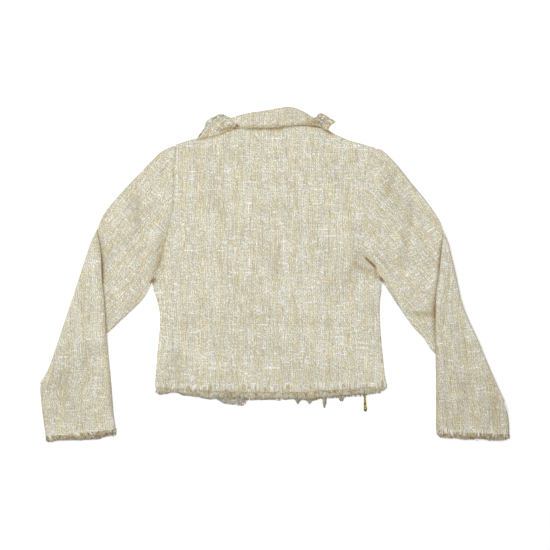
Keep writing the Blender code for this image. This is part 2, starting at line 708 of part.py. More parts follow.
def edge_strip(curve, count, floor_of, thick=STRIP_THICK, width=STRIP_WIDTH, end=0.996):
    """The two edges of a strip below a cut edge that runs from left to right."""
    shares = np.linspace(0.004, end, count + 1)
    edges = []
    for distance in (SEAM_GAP, SEAM_GAP + width):
        line = offset_curve(curve, -distance)(shares)
        low = floor_of(line)
        edges.append([((*p, z), (*p, z + thick)) for p, z in zip(line, low)])
    return edges


def make_hem_fringes(front_hems, collection):
    random = np.random.default_rng(LOCK_SEED)
    back_hem = chords(curve_through(HEM_BACK), rim_shares(BACK_WIDTH, BACK_COLUMNS))

    def over_fronts(line):
        return loft_at(line) + 0.2

    def on_surface(line):
        return np.full(len(line), 0.4)

    count = 78
    near, far = edge_strip(back_hem, count, over_fronts)
    middle = np.sin(math.pi * np.linspace(0.02, 0.98, count)) ** 0.5
    lengths = uneven(count, 6.0, 9.5, random) + 3.2 * middle
    x = np.array([pair[0][0] for pair in far])[:-1]
    pin_x = PIN_PLACE[0]
    tips = np.where(abs(x - pin_x) < 9, 5.6, 2.9)
    fringe("fringe_hem_back", near, far, lengths, tips, uneven(count, -1.6, 1.6, random), collection)
    fronts = (
        # name, panel, share of the hem at its end, count, shortest, longest, long locks as {share: length}
        ("fringe_hem_left", "front_left", 0.885, 28, 1.5, 4.0, {}),
        ("fringe_hem_overlap", "front_right_overlap", 0.99, 24, 6.0, 9.0, LONG_LOCKS),
        ("fringe_hem_right", "front_right", 0.99, 6, 4.0, 6.0, {}),
    )
    for name, panel, end, count, low, high, long_locks in fronts:
        near, far = edge_strip(front_hems[panel], count, on_surface, thick=1.2, end=end)
        lengths = uneven(count, low, high, random)
        for share, length in long_locks.items():
            lengths[int(share * count)] = length
        fringe(name, near, far, lengths, np.full(count, 0.9), uneven(count, -1.2, 1.2, random), collection)


def make_cuff_fringe(side, sections, collection):
    """A ring of fringe outside the open cuff."""
    random = np.random.default_rng(LOCK_SEED + (1 if side == "left" else 2))
    across = 12
    edges = []
    outer = sleeve_ring(side, sections, "lower", 1.0, 0.25, across)
    inner = sleeve_ring(side, sections, "lower", 1.0, 0.25 + STRIP_THICK, across)
    before = sleeve_ring(side, sections, "lower", 0.97, 0.25, across)
    away = outer[:, :2] - before[:, :2]
    away /= np.linalg.norm(away, axis=1, keepdims=True)
    for distance in (SEAM_GAP, SEAM_GAP + STRIP_WIDTH):
        shift = np.column_stack([away * distance, np.zeros(len(away))])
        edges.append(list(zip(outer + shift, inner + shift)))
    count = len(outer)
    root_height = np.array([(a[2] + b[2]) / 2 for a, b in edges[1]])
    tips = np.maximum(root_height * 0.55, 0.7)
    upper = root_height > (FOLD_LOFT + CLOTH) / 2
    lengths = np.where(upper, uneven(count, 8.0, 11.0, random), uneven(count, 6.0, 8.0, random))
    tips = np.where(upper, np.maximum(tips, 2.9), tips)
    lean = uneven(count, -1.0, 1.0, random)
    fringe(f"fringe_cuff_{side}", *edges, lengths, tips, lean, collection, closed=True)


def make_collar_fringe(collection):
    """Short frayed yarns along the fall's edge, lying on the back."""
    random = np.random.default_rng(LOCK_SEED + 3)
    table = np.array(COLLAR, float)
    fall = curve_through(table[:, 4:6])
    count = 26

    def on_back(line):
        return loft_at(line) + raised_at(line) + CLOTH + FALL_CLEAR

    near, far = edge_strip(fall, count, on_back, thick=1.3, width=1.6)
    lengths = uneven(count, 1.5, 3.6, random)
    tips = on_back(np.array([pair[0][:2] for pair in far]))[:-1] + 0.6
    fringe("fringe_collar", near, far, lengths, tips, uneven(count, -0.8, 0.8, random), collection)


def make_zip_halves(collection):
    """Tape and teeth as one narrow strip on each side, with its lower end clear of the slider."""
    right = curve_through(ZIP_LINE)
    left = offset_curve(curve_through(FRONT_EDGE_LEFT), ZIP_SLOT + 0.1)
    for name, line, start, end in (("zip_right", right, 0.02, 0.985), ("zip_left", left, 0.42, 0.985)):
        shares = np.linspace(start, end, 13)
        across = (ZIP_SLOT - 0.6) * np.array([-1, -0.35, 0.35, 1])
        edges = [offset_curve(line, distance)(shares) for distance in across]
        points = np.stack([np.column_stack([edge, raised_at(edge)]) for edge in edges], axis=1)
        cloth_sheet(name, points, "zip_tape", collection, thickness=1.7)


def turned_ring(name, inner, outer, width, hidden):
    """A ring about the X axis, turned from its rectangular profile."""
    profile = [(-width / 2, inner), (width / 2, inner), (width / 2, outer), (-width / 2, outer)]
    bm = bmesh.new()
    corners = [bm.verts.new((x * MM, 0.0, z * MM)) for x, z in profile]
    edges = [bm.edges.new((corners[k], corners[(k + 1) % 4])) for k in range(4)]
    bmesh.ops.spin(
        bm, geom=[*corners, *edges], cent=(0, 0, 0), axis=(1, 0, 0), angle=math.tau, steps=20, use_merge=True
    )
    bmesh.ops.remove_doubles(bm, verts=bm.verts, dist=1e-6)
    bmesh.ops.recalc_face_normals(bm, faces=bm.faces)
    return add_object(name, mesh_from(bm, name), "brass", hidden)


def block(name, size, centre, collection, bevel=0.0):
    bm = bmesh.new()
    bmesh.ops.create_cube(bm, size=1.0)
    bmesh.ops.scale(bm, vec=[s * MM for s in size], verts=bm.verts)
    bmesh.ops.translate(bm, vec=[c * MM for c in centre], verts=bm.verts)
    piece = add_object(name, mesh_from(bm, name, smooth=False), "brass", collection)
    if bevel:
        edge = piece.modifiers.new("edge", "BEVEL")
        edge.width = bevel * MM
        edge.segments = 2
    return piece


def cylinder(name, radius, length, along, centre, collection, sides=16):
    bm = bmesh.new()
    bmesh.ops.create_cone(
        bm, cap_ends=True, segments=sides, radius1=radius * MM, radius2=radius * MM, depth=length * MM
    )
    turn = Matrix.Rotation(math.radians(90), 4, "Y") if along == "X" else Matrix.Identity(4)
    bmesh.ops.transform(bm, matrix=Matrix.Translation([c * MM for c in centre]) @ turn, verts=bm.verts)
    return add_object(name, mesh_from(bm, name), "brass", collection)


def combine(piece, others, operation):
    for other in others:
        step = piece.modifiers.new(other.name, "BOOLEAN")
        step.operation = operation
        step.object = other
        other.hide_render = True
        other.display_type = "WIRE"


def make_zip_pull(collection, hidden):
    """The slider at the zip's lower end, and its tab on a pin. The tab lies on the surface below the hem."""
    place = bpy.data.objects.new("zip_pull_pin", None)
    place.location = [c * MM for c in PIN_PLACE]
    place.rotation_euler = (0, 0, PIN_TURN)
    collection.objects.link(place)
    wide, long, thick = SLIDER_SIZE
    lowest = -PIN_PLACE[2] + 0.15
    slider_centre = (0, SLIDER_START + long / 2, lowest + thick / 2)
    slider = block("zip_slider", SLIDER_SIZE, slider_centre, collection, bevel=0.8)
    apart = EYE_WIDTH / 2 + 0.3 + LUG_SIZE[0] / 2
    lug_y = LUG_SIZE[1] / 2 - 0.75
    sides = (("lug_left", -apart), ("lug_right", apart))
    lugs = [block(name, LUG_SIZE, (x, lug_y, 0), hidden) for name, x in sides]
    pin = cylinder("pin", PIN_RADIUS, 2 * apart + 0.4, "X", (0, 0, 0), hidden)
    combine(slider, [*lugs, pin], "UNION")
    outline = [(x, y) for x, y in TAB_OUTLINE] + [(-x, y) for x, y in TAB_OUTLINE[::-1]]
    curve = bpy.data.curves.new("tab", "CURVE")
    curve.dimensions = "2D"
    curve.fill_mode = "BOTH"
    curve.extrude = TAB_THICK / 2 * MM
    spline = curve.splines.new("POLY")
    spline.points.add(len(outline) - 1)
    for point, (x, y) in zip(spline.points, outline):
        point.co = (x * MM, (y - 1.2) * MM, 0, 1)
    spline.use_cyclic_u = True
    drawn = bpy.data.objects.new("tab_outline", curve)
    hidden.objects.link(drawn)
    bpy.context.view_layer.update()
    mesh = bpy.data.meshes.new_from_object(drawn.evaluated_get(bpy.context.evaluated_depsgraph_get()))
    bpy.data.objects.remove(drawn)
    bm = bmesh.new()
    bm.from_mesh(mesh)
    bpy.data.meshes.remove(mesh)
    bmesh.ops.remove_doubles(bm, verts=bm.verts, dist=1e-6)
    lift = -PIN_PLACE[2] + TAB_THICK / 2 + 0.12
    bmesh.ops.translate(bm, vec=(0, 0, lift * MM), verts=bm.verts)
    bmesh.ops.recalc_face_normals(bm, faces=bm.faces)
    tab = add_object("zip_pull", mesh_from(bm, "zip_pull", smooth=False), "brass", collection)
    hole = cylinder("tab_hole", TAB_HOLE_RADIUS, 4.0, "Z", (0, TAB_HOLE_PLACE, lift), hidden)
    eye = turned_ring("eye", EYE_INNER, EYE_OUTER, EYE_WIDTH, hidden)
    combine(tab, [hole], "DIFFERENCE")
    combine(tab, [eye], "UNION")
    for piece in (slider, tab, *lugs, pin, hole, eye):
        piece.parent = place


def new_collection(name):
    collection = bpy.data.collections.new(name)
    bpy.context.scene.collection.children.link(collection)
    return collection


def centre_on_origin(collection):
    """Moves the whole jacket so that its box stands centred on the origin."""
    bpy.context.view_layer.update()
    evaluated = bpy.context.evaluated_depsgraph_get()
    corners = []
    for piece in collection.objects:
        if piece.type == "MESH":
            solid = piece.evaluated_get(evaluated)
            corners += [solid.matrix_world @ Vector(corner) for corner in solid.bound_box]
    corners = np.array(corners)
    middle = (corners.min(axis=0) + corners.max(axis=0)) / 2
    for piece in collection.objects:
        if piece.parent is None:
            piece.location.x -= middle[0]
            piece.location.y -= middle[1]


def main():
    for leftover in list(bpy.data.objects):
        bpy.data.objects.remove(leftover, do_unlink=True)
    jacket = new_collection("cropped_tweed_jacket")
    cutters = new_collection("cutters")
    make_back(jacket)
    front_hems = make_fronts(jacket)
    make_collar(jacket)
    make_collar_ends(jacket)
    for side in SLEEVES:
        make_cuff_fringe(side, make_sleeve(side, jacket), jacket)
    make_hem_fringes(front_hems, jacket)
    make_collar_fringe(jacket)
    make_zip_halves(jacket)
    make_zip_pull(jacket, cutters)
    centre_on_origin(jacket)


main()
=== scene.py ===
"""The looks of the cropped tweed jacket: its cloth, frayed edges and brass zip pull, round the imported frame.

Tables are in the part's own millimetres. in_frame() turns them into metres in the frame, whose shift is read
from the frame's joint. Each cloth piece is a fine thin shell with the form of the solid that it replaces.
"""

import json
import math

import bpy
import numpy as np
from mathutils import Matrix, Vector
from mathutils.bvhtree import BVHTree


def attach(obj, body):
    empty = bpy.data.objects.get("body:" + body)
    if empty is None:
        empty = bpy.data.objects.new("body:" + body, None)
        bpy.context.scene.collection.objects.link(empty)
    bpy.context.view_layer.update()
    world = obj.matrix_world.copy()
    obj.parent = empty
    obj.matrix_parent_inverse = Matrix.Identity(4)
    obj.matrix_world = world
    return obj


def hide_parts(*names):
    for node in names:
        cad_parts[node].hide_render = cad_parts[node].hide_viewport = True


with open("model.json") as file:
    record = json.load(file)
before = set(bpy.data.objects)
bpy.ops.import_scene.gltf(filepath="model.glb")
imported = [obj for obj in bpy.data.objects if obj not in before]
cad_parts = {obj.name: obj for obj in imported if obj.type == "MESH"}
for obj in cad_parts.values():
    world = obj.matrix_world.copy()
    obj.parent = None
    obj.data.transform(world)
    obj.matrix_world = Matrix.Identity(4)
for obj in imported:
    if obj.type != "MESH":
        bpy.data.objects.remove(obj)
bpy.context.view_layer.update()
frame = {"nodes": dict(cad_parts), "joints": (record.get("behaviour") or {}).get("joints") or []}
BODY = "jacket"
MM = 0.001
random = np.random.default_rng(7)

# Cloth
CLOTH = 2.0  # wall of the tweed
SEAM_GAP = 0.3  # between neighbouring pieces
ARMHOLE_GAP = 0.2  # between the sleeve's head and the armhole's edge
ARMHOLE_END_GAP = 1.0  # the same at the shoulder and the underarm, where the back's rim begins
ARMHOLE_END_LENGTH = 6.0  # over which one becomes the other
LOFT = 3.2  # underside of the upper layer above the surface
LOFT_LOW = 2.45
LOFT_HIGH = 5.6
FOLD_LOFT = 2.6  # the same inside a folded sleeve
FOLD_RADIUS = 0.5  # between the two halves of a folded sleeve

# Rounded rim of the back along the side seams and the shoulders
RIM_RADIUS = 5.0
RIM_FOOT = 0.2
FRONT_INSET = 1.8  # of the fronts' side seams, behind that rim

# Outline of the back: x and y of each corner, left to right or top to bottom
SHOULDER_LEFT = ((-182, 240), (-164, 246), (-142, 251), (-112, 256), (-93, 262), (-69, 273))
NECK_SEAM = ((-69, 273), (-53, 276), (-27, 278), (14, 279), (47, 278), (75, 275), (97, 267))
SHOULDER_RIGHT = ((97, 267), (112, 258), (136, 248), (160, 241), (184, 234))
ARMHOLE_LEFT = (
    (-182, 240), (-185, 206), (-187, 173), (-186, 143), (-190, 117), (-197, 86), (-205, 55), (-214, 20),
    (-228, -13),
)
ARMHOLE_RIGHT = (
    (184, 234), (173, 204), (165, 173), (164, 120), (160, 84), (155, 55), (159, 32), (175, 10), (198, -13),
)
SIDE_LEFT = ((-226, -17), (-217, -42), (-211, -69), (-211, -101), (-216, -154), (-219, -193), (-219, -208))
SIDE_RIGHT = ((196, -17), (192, -55), (193, -99), (198, -154), (202, -188), (206, -204))
HEM_BACK = (
    (-219, -208), (-175, -210), (-110, -214), (-45, -216), (19, -216), (84, -214), (140, -210), (186, -206),
    (206, -204),
)
UNDERARM = 0.56  # share of the back's length above the underarm

# Outline of the fronts, from the neck down their free edges, and their hems
FRONT_EDGE_LEFT = (
    (-68, 272), (-58, 245), (-42, 215), (-27, 180), (-22, 120), (-26, 0), (-38, -130), (-50, -226),
)
FRONT_EDGE_RIGHT = ((96, 266), (80, 240), (56, 210), (34, 175), (30, 120), (34, 0), (40, -130), (43, -217))
ZIP_LINE = ((118, 250), (122, 200), (128, 120), (138, 20), (152, -90), (166.2, -214))
HEM_FRONT_LEFT = (
    (-219, -208), (-175, -211), (-140, -216), (-115, -224), (-92, -233), (-63, -236), (-50, -226),
)
HEM_OVERLAP = ((43, -217), (80, -218), (120, -215), (161, -211))
HEM_FRONT_RIGHT = ((171, -210), (186, -207), (206, -204))
ZIP_SLOT = 4.8  # half width of the slot that the zip fills
ZIP_TOP = 0.24  # share of the right shoulder at which the zip starts

# Collar, one row for each station from left to right
COLLAR = (
    # seam_x, seam_y, roll_x, roll_y, fall_x, fall_y
    (-70, 274, -81, 290, -71, 273),
    (-52, 277, -52, 299, -47, 272.5),
    (-27, 279, -24, 303, -24, 272.5),
    (1, 279.5, 3, 308, 2, 273.5),
    (29, 279.5, 29, 311, 28, 277),
    (50, 278.5, 49, 304, 52, 278.2),
    (70, 276.5, 66, 293, 72, 277.5),
    (86, 273, 78, 287, 88, 274),
)
FALL_CLEAR = 1.1  # between the back and the fall that lies on it
ROLL_RADIUS = 0.8

# Turned collar ends, which lie on the surface under the shoulders: root and tip lines, left to right
END_LEFT_TIP = ((-144, 254), (-132, 270), (-127, 283), (-115, 292), (-99, 297), (-82, 292))
END_LEFT_ROOT = ((-139, 243), (-118, 246), (-98, 250), (-82, 256), (-74, 262), (-68, 269))
END_LEFT_SIDES = (((-144, 254), (-139, 243)), ((-82, 292), (-73, 280), (-68, 269)))
END_RIGHT_TIP = ((70, 290), (77, 293), (84, 300), (99, 292), (113, 284))
END_RIGHT_ROOT = ((62, 267), (72, 262), (86, 258), (98, 255), (104, 254))
END_RIGHT_SIDES = (((70, 290), (62, 267)), ((113, 284), (102, 276), (99, 267), (104, 254)))
UNDER_SHOULDERS = (
    # centre_x, centre_y, half_width_x, half_width_y of the area raised by a collar end
    (-106, 264, 40, 32),
    (86, 270, 30, 26),
)
RAISED, RAISED_FADE = 2.4, (1.25, 1.75)  # how far, and the half widths over which that fades out
END_CURL, CURL_STARTS = 1.6, 0.6  # of a collar end's free edge, and the share of its width before it

# Sleeves: outer edge from the shoulder, underarm edge, fold, cuff and forearm edges
SLEEVES = {
    "left": {
        "outer": (
            (-182, 240), (-194, 236), (-211, 227), (-230, 209), (-246, 192),
            (-270, 168), (-292, 144), (-317, 115), (-333, 86),
        ),
        "underarm": (
            (-228, -13), (-236, -31), (-245, -45), (-262, -62), (-290, -88), (-310, -106),
            (-369, -151), (-431, -197),
        ),
        "fold": ((-333, 86), (-339, 66), (-345, 46), (-371, -34), (-400, -121), (-417, -170), (-434, -200)),
        "inner": (
            (-332, 84), (-323, 42), (-319, -12), (-315, -42), (-311, -106), (-307, -152),
            (-302, -205), (-298, -255), (-294, -284),
        ),
        "free": ((-434, -200), (-436, -214), (-434, -235), (-430, -266), (-425, -298)),
        "cuff": ((-294, -284), (-325, -288), (-369, -293), (-425, -298)),
    },
    "right": {
        "outer": (
            (184, 234), (194, 233), (205, 225), (225, 205), (254, 169), (278, 140), (306, 103), (315, 84),
        ),
        "underarm": (
            (198, -13), (203, -17), (225, -43), (236, -65), (254, -93), (278, -119),
            (297, -145), (362, -190), (422, -232),
        ),
        "fold": (
            (315, 84), (320, 66), (324, 45), (333, 8), (345, -47), (358, -82), (377, -123),
            (391, -158), (413, -208), (425, -234),
        ),
        "inner": (
            (314, 84), (311, 58), (308, 36), (304, 3), (298, -34), (296, -90), (297, -145),
            (298, -200), (298, -262), (298, -285),
        ),
        "free": ((425, -234), (430, -250), (434, -268), (435, -284), (435, -294)),
        "cuff": ((298, -285), (338, -290), (389, -292), (435, -294)),
    },
}
NEAR_FOLD = 6  # power that keeps the narrowing towards the fold beside it
DROP_LENGTH = 30.0  # over which a forearm comes down to the surface
TURN = {"left": 1.0, "right": -1.0}  # x times it grows towards the body
STEEP = {"left": 0.79, "right": 0.74}  # cosine of the underarm edge's slope beyond the elbow
SLEEVE_ACROSS = 64  # points across one layer of the tube

# Soft folds of the upper layer
FOLDS = (
    # start_x, start_y, end_x, end_y, half_width, height
    (-243, 168, -254, 80, 10, -0.7),  # along the left upper sleeve
    (-200, 120, -229, 20, 7, 1.3),  # sleeve's fullness beside the left armhole
    (-194, 110, -214, 25, 4, -0.6),
    (233, 193, 195, 147, 8, -0.8),  # across the right sleeve's head
    (255, 129, 241, 36, 9, -0.8),
    (269, -75, 291, -80, 6, -0.8),
    (205, 90, 186, 40, 12, 1.6),  # fullness above the right underarm
    (171, 30, 196, -8, 4, -1.5),
    (143, 30, 178, 8, 9, -0.9),
    (143, -1, 130, -40, 8, -0.8),  # drag fold below the right underarm
    (160, -5, 150, -55, 9, 1.0),
    (97, -140, 95, -176, 18, 0.9),
    (16, 36, 14, -6, 12, -0.5),
    (-119, 150, -110, 120, 16, -0.5),
    (110, 190, 78, 160, 14, -0.6),
    (-160, -120, -175, -180, 14, 0.7),
    (-60, 90, -70, 20, 20, 0.5),
)
FOREARM_FOLDS = (
    # start_x, start_y, end_x, end_y, half_width, height
    (-392, -190, -366, -235, 20, -0.6),
    (-345, -60, -362, -150, 14, 0.9),
    (-318, -170, -316, -240, 9, 0.7),
    (340, -120, 356, -190, 14, -0.6),
    (388, -215, 410, -265, 12, -0.6),
    (326, -180, 334, -262, 10, 0.9),
    (370, -210, 384, -280, 9, 0.8),
)
RIPPLES = (
    # wave_x, wave_y, phase, height
    (0.031, 0.012, 0.4, 0.28),
    (-0.017, 0.036, 2.1, 0.22),
    (0.058, -0.027, 4.0, 0.12),
)
SAG_LEFT, SAG_RIGHT = -48.0, 46.0  # the back sinks between the fronts' free edges
SAG, SAG_FADE = 1.7, (120, 200)  # how far, and the heights over which that fades out towards the neck
PIN_PLACE = (166.2, -224.6, 1.85)  # of the zip pull, in the slider under the hem
SLIDER_RISE, SLIDER_REACH = 1.9, (16, 22)  # of the back over the slider, and how far that spreads


def smooth_step(value, low=0.0, high=1.0):
    share = np.clip((value - low) / (high - low), 0.0, 1.0)
    return share * share * (3 - 2 * share)


def unit(vectors):
    return vectors / np.maximum(np.linalg.norm(vectors, axis=-1, keepdims=True), 1e-9)


def bell(away, width):
    """A smooth rise to 1 where away is 0, of this half width."""
    return np.exp(-((away / width) ** 2))


def left_of(run):
    """Directions in plan turned a quarter to the left."""
    return np.stack([-run[..., 1], run[..., 0]], axis=-1)


def run_along(points):
    """Length of a line of points up to each of them."""
    return np.concatenate([[0], np.cumsum(np.linalg.norm(np.diff(points, axis=0), axis=1))])


def along_table(position, table, column=1):
    """A column of a table at positions between those in its first column."""
    rows = np.array(table, float)
    return np.interp(position, rows[:, 0], rows[:, column])


def curve_through(corners, samples=24):
    """A function from 0..1 to the point at that share of a smooth curve's length."""
    p = np.array(corners, float)
    p = np.vstack([2 * p[0] - p[1], p, 2 * p[-1] - p[-2]])
    t = np.linspace(0, 1, samples, endpoint=False)[:, None]
    runs = []
    for a, b, c, d in zip(p, p[1:], p[2:], p[3:]):
        bend, twist = 2 * a - 5 * b + 4 * c - d, 3 * b - a - 3 * c + d
        runs.append(0.5 * (2 * b + (c - a) * t + bend * t**2 + twist * t**3))
    line = np.vstack([*runs, p[-2:-1]])
    along = run_along(line)
    along /= along[-1]

    def at(share):
        return np.stack([np.interp(share, along, line[:, k]) for k in range(line.shape[1])], axis=-1)

    return at


def joined(first, second, meet):
    """One curve function that follows first up to the share meet, and second after it."""

    def at(share):
        share = np.asarray(share, float)
        before = first(np.clip(share / meet, 0, 1))
        after = second(np.clip((share - meet) / (1 - meet), 0, 1))
        return np.where((share <= meet)[..., None], before, after)

    return at


def heading(curve, share):
    """Direction in which a curve runs at a share of it."""
    return unit(curve(np.clip(share + 0.01, 0, 1)) - curve(np.clip(share - 0.01, 0, 1)))


def offset_curve(curve, distance):
    """The curve moved sideways, to its left as it runs for a positive distance."""
    return lambda share: curve(share) + distance * left_of(heading(curve, np.asarray(share, float)))


def patch(top, bottom, left, right):
    """A surface in plan between four edge curves: u runs left to right and v from top to bottom."""

    def at(u, v):
        u, v = np.broadcast_arrays(np.asarray(u, float), np.asarray(v, float))
        a, b = u[..., None], v[..., None]
        upper, lower = (1 - a) * top(0.0) + a * top(1.0), (1 - a) * bottom(0.0) + a * bottom(1.0)
        between_sides = (1 - a) * left(v) + a * right(v)
        return (1 - b) * (top(u) - upper) + b * (bottom(u) - lower) + between_sides

    return at


def from_line(place, start, end):
    """Distance of each place from a stretch of line, and the share of the line that is nearest."""
    start, run = np.array(start, float), np.array(end, float) - np.array(start, float)
    share = np.clip(((place - start) @ run) / (run @ run), 0, 1)
    return np.linalg.norm(place - start - share[..., None] * run, axis=-1), share


def folds_at(place, table):
    height = np.zeros(place.shape[:-1])
    for start_x, start_y, end_x, end_y, half_width, rise in table:
        away, share = from_line(place, (start_x, start_y), (end_x, end_y))
        height += rise * bell(away, half_width) * (0.75 + 0.25 * np.sin(math.pi * share))
    return height


def ripples_at(place):
    x, y = place[..., 0], place[..., 1]
    return sum(height * np.sin(wave_x * x + wave_y * y + phase) for wave_x, wave_y, phase, height in RIPPLES)


def raised_at(place):
    """How far the cloth over a turned collar end is lifted off the surface."""
    height = np.zeros(place.shape[:-1])
    for centre_x, centre_y, half_x, half_y in UNDER_SHOULDERS:
        away = np.hypot((place[..., 0] - centre_x) / half_x, (place[..., 1] - centre_y) / half_y)
        height = np.maximum(height, RAISED * (1 - smooth_step(away, *RAISED_FADE)))
    return height


def loft_at(place):
    """Underside of the body's and upper sleeves' upper layer above their lower layer's underside."""
    x, y = place[..., 0], place[..., 1]
    height = np.clip(LOFT + ripples_at(place) + folds_at(place, FOLDS), LOFT_LOW, LOFT_HIGH)
    across = np.sin(math.pi * np.clip((x - SAG_LEFT) / (SAG_RIGHT - SAG_LEFT), 0, 1)) ** 2
    height = height - SAG * across * (1 - smooth_step(y, *SAG_FADE))
    off_x, off_y = (x - PIN_PLACE[0]) / SLIDER_REACH[0], (y - PIN_PLACE[1]) / SLIDER_REACH[1]
    return height + SLIDER_RISE * np.exp(-(off_x**2 + off_y**2))


def grid_of(plan, height, u, v):
    """Points of a sheet in rows: plan gives x and y, and height(place, u, v) gives z."""
    u, v = np.meshgrid(u, v)
    place = plan(u, v)
    return np.dstack([place, height(place, u, v)])


def rim_profile(distance):
    """Share of the full height at a distance in from a rounded rim's foot."""
    return (1 - np.clip(1 - distance / RIM_RADIUS, 0, 1) ** 4) ** 0.25


# Shares of the top edge where the shoulders meet the neck, and over which their rim ends there
NECK_LEFT, NECK_RIGHT = 0.315, 0.755
NECK_BLEND = 0.03
# Shares of the length past the underarm where the side seam's rim starts and is whole
SEAM_START, SEAM_FULL = 0.014, 0.05
BACK_WIDTH, BACK_LENGTH, ARMHOLE_LENGTH = 410.0, 470.0, 262.0
side_left = joined(curve_through(ARMHOLE_LEFT), curve_through(SIDE_LEFT), UNDERARM)
side_right = joined(curve_through(ARMHOLE_RIGHT), curve_through(SIDE_RIGHT), UNDERARM)
neck_share = (NECK_RIGHT - NECK_LEFT) / (1 - NECK_LEFT)
neck_and_right = joined(curve_through(NECK_SEAM), curve_through(SHOULDER_RIGHT), neck_share)
back_top = joined(curve_through(SHOULDER_LEFT), neck_and_right, NECK_LEFT)
back_plan = patch(back_top, curve_through(HEM_BACK), side_left, side_right)


def back_height(place, u, v):
    beside_seam = smooth_step(v, UNDERARM + SEAM_START, UNDERARM + SEAM_FULL)
    before_right = 1 - smooth_step(u, NECK_RIGHT, NECK_RIGHT + NECK_BLEND)
    on_shoulder = 1 - smooth_step(u, NECK_LEFT - NECK_BLEND, NECK_LEFT) * before_right
    sides = rim_profile(np.minimum(u, 1 - u) * BACK_WIDTH)
    shoulders = rim_profile(v * BACK_LENGTH)
    share = (1 - beside_seam * (1 - sides)) * (1 - on_shoulder * (1 - shoulders))
    return raised_at(place) + RIM_FOOT + (loft_at(place) - RIM_FOOT) * share


def pinned(curve, start, end, near=1):
    """The curve bent so that it starts and ends at these points. A higher near bends only its ends."""

    def at(share):
        share = np.asarray(share, float)[..., None]
        shift = (1 - share) ** near * (start - curve(0.0)) + share**near * (end - curve(1.0))
        return curve(share[..., 0]) + shift

    return at


def collar_end_height(place, u, v):
    """A turned end lies flat, and the middle of its free edge curls up a little."""
    return END_CURL * smooth_step(1 - v, CURL_STARTS, 1.0) * np.sin(math.pi * u) ** 2


def sleeve_sections(side):
    """The sleeve's plan before and after its fold, and the fold's own line."""
    table = SLEEVES[side]
    turn = TURN[side]
    height = FOLD_LOFT + CLOTH
    fold = offset_curve(curve_through(table["fold"]), turn * (height + FOLD_RADIUS))
    armhole = curve_through(ARMHOLE_LEFT if side == "left" else ARMHOLE_RIGHT)

    def head(share):
        from_end = np.minimum(share, 1 - np.asarray(share)) * ARMHOLE_LENGTH
        near_end = np.exp(-from_end / ARMHOLE_END_LENGTH)[..., None]
        plain = offset_curve(armhole, -turn * ARMHOLE_GAP)(share)
        wide = offset_curve(armhole, -turn * ARMHOLE_END_GAP)(share)
        return plain + (wide - plain) * near_end

    outer = pinned(curve_through(table["outer"]), head(0.0), fold(0.0), near=NEAR_FOLD)
    underarm = pinned(curve_through(table["underarm"]), head(1.0), fold(1.0), near=NEAR_FOLD)
    cuff = curve_through(table["cuff"])
    inner = pinned(curve_through(table["inner"]), fold(0.0), cuff(0.0), near=NEAR_FOLD)
    free = pinned(curve_through(table["free"]), fold(1.0), cuff(1.0), near=NEAR_FOLD)
    return patch(head, fold, outer, underarm), patch(fold, cuff, inner, free), fold, turn


def ring_shares(width, gap):
    """Shares across a flattened sleeve and heights of its points.

    gap is 0 for its outer face, and the wall's thickness for its inner one."""
    height = FOLD_LOFT + CLOTH
    middle = height / 2
    radius, end = middle - gap, middle / width
    straight = np.linspace(end, 1 - end, SLEEVE_ACROSS)
    angles = np.radians((-45, 0, 45))
    round_share = radius / width * np.cos(angles)
    round_height = middle + radius * np.sin(angles)
    shares = np.concatenate([straight, 1 - end + round_share, straight[::-1], end - round_share])
    lower, upper = np.full(SLEEVE_ACROSS, gap), np.full(SLEEVE_ACROSS, height - gap)
    return shares, np.concatenate([lower, round_height, upper, round_height[::-1]])


def inward_of(side, place):
    """How far each place lies towards the body from the forearm's inner edge."""
    inner = curve_through(SLEEVES[side]["inner"])(np.linspace(0, 1, 60))
    return (place[..., 0] - np.interp(place[..., 1], inner[::-1, 1], inner[::-1, 0])) * TURN[side]


ELBOW_FROM, ELBOW_TO = 70, 100  # heights at which the forearm gives way to the elbow
COVERED_TO, UNCOVERED_FROM, COVERED_ELBOW = 4, 22, -14  # past the forearm's inner edge, and at the elbow


def covered(side, place):
    """0 where the forearm lies over the upper sleeve, rising to 1 clear of it."""
    inward = inward_of(side, place)
    past_elbow = smooth_step(place[..., 1], ELBOW_FROM, ELBOW_TO)
    beside_elbow = past_elbow * smooth_step(inward, COVERED_ELBOW, UNCOVERED_FROM)
    return np.maximum(smooth_step(inward, COVERED_TO, UNCOVERED_FROM), beside_elbow)


def off_upper_sleeve(side, place):
    """Distance past the upper sleeve's underarm edge, on the side of the cuff."""
    line = curve_through(SLEEVES[side]["underarm"])(np.linspace(0, 1, 80))
    order = np.argsort(line[:, 0])
    edge_y = np.interp(place[..., 0], line[order, 0], line[order, 1])
    return (edge_y - place[..., 1]) * STEEP[side]


UPPER_LAYER = (0.3, 0.7)  # shares of a ring's height between which its upper layer begins
CREST, CREST_LEAST, CREST_MOST = 0.5, -0.15, 3.0  # of a forearm's top above its even height
CREST_FULL = 0.25  # share of its length from which it has all of that


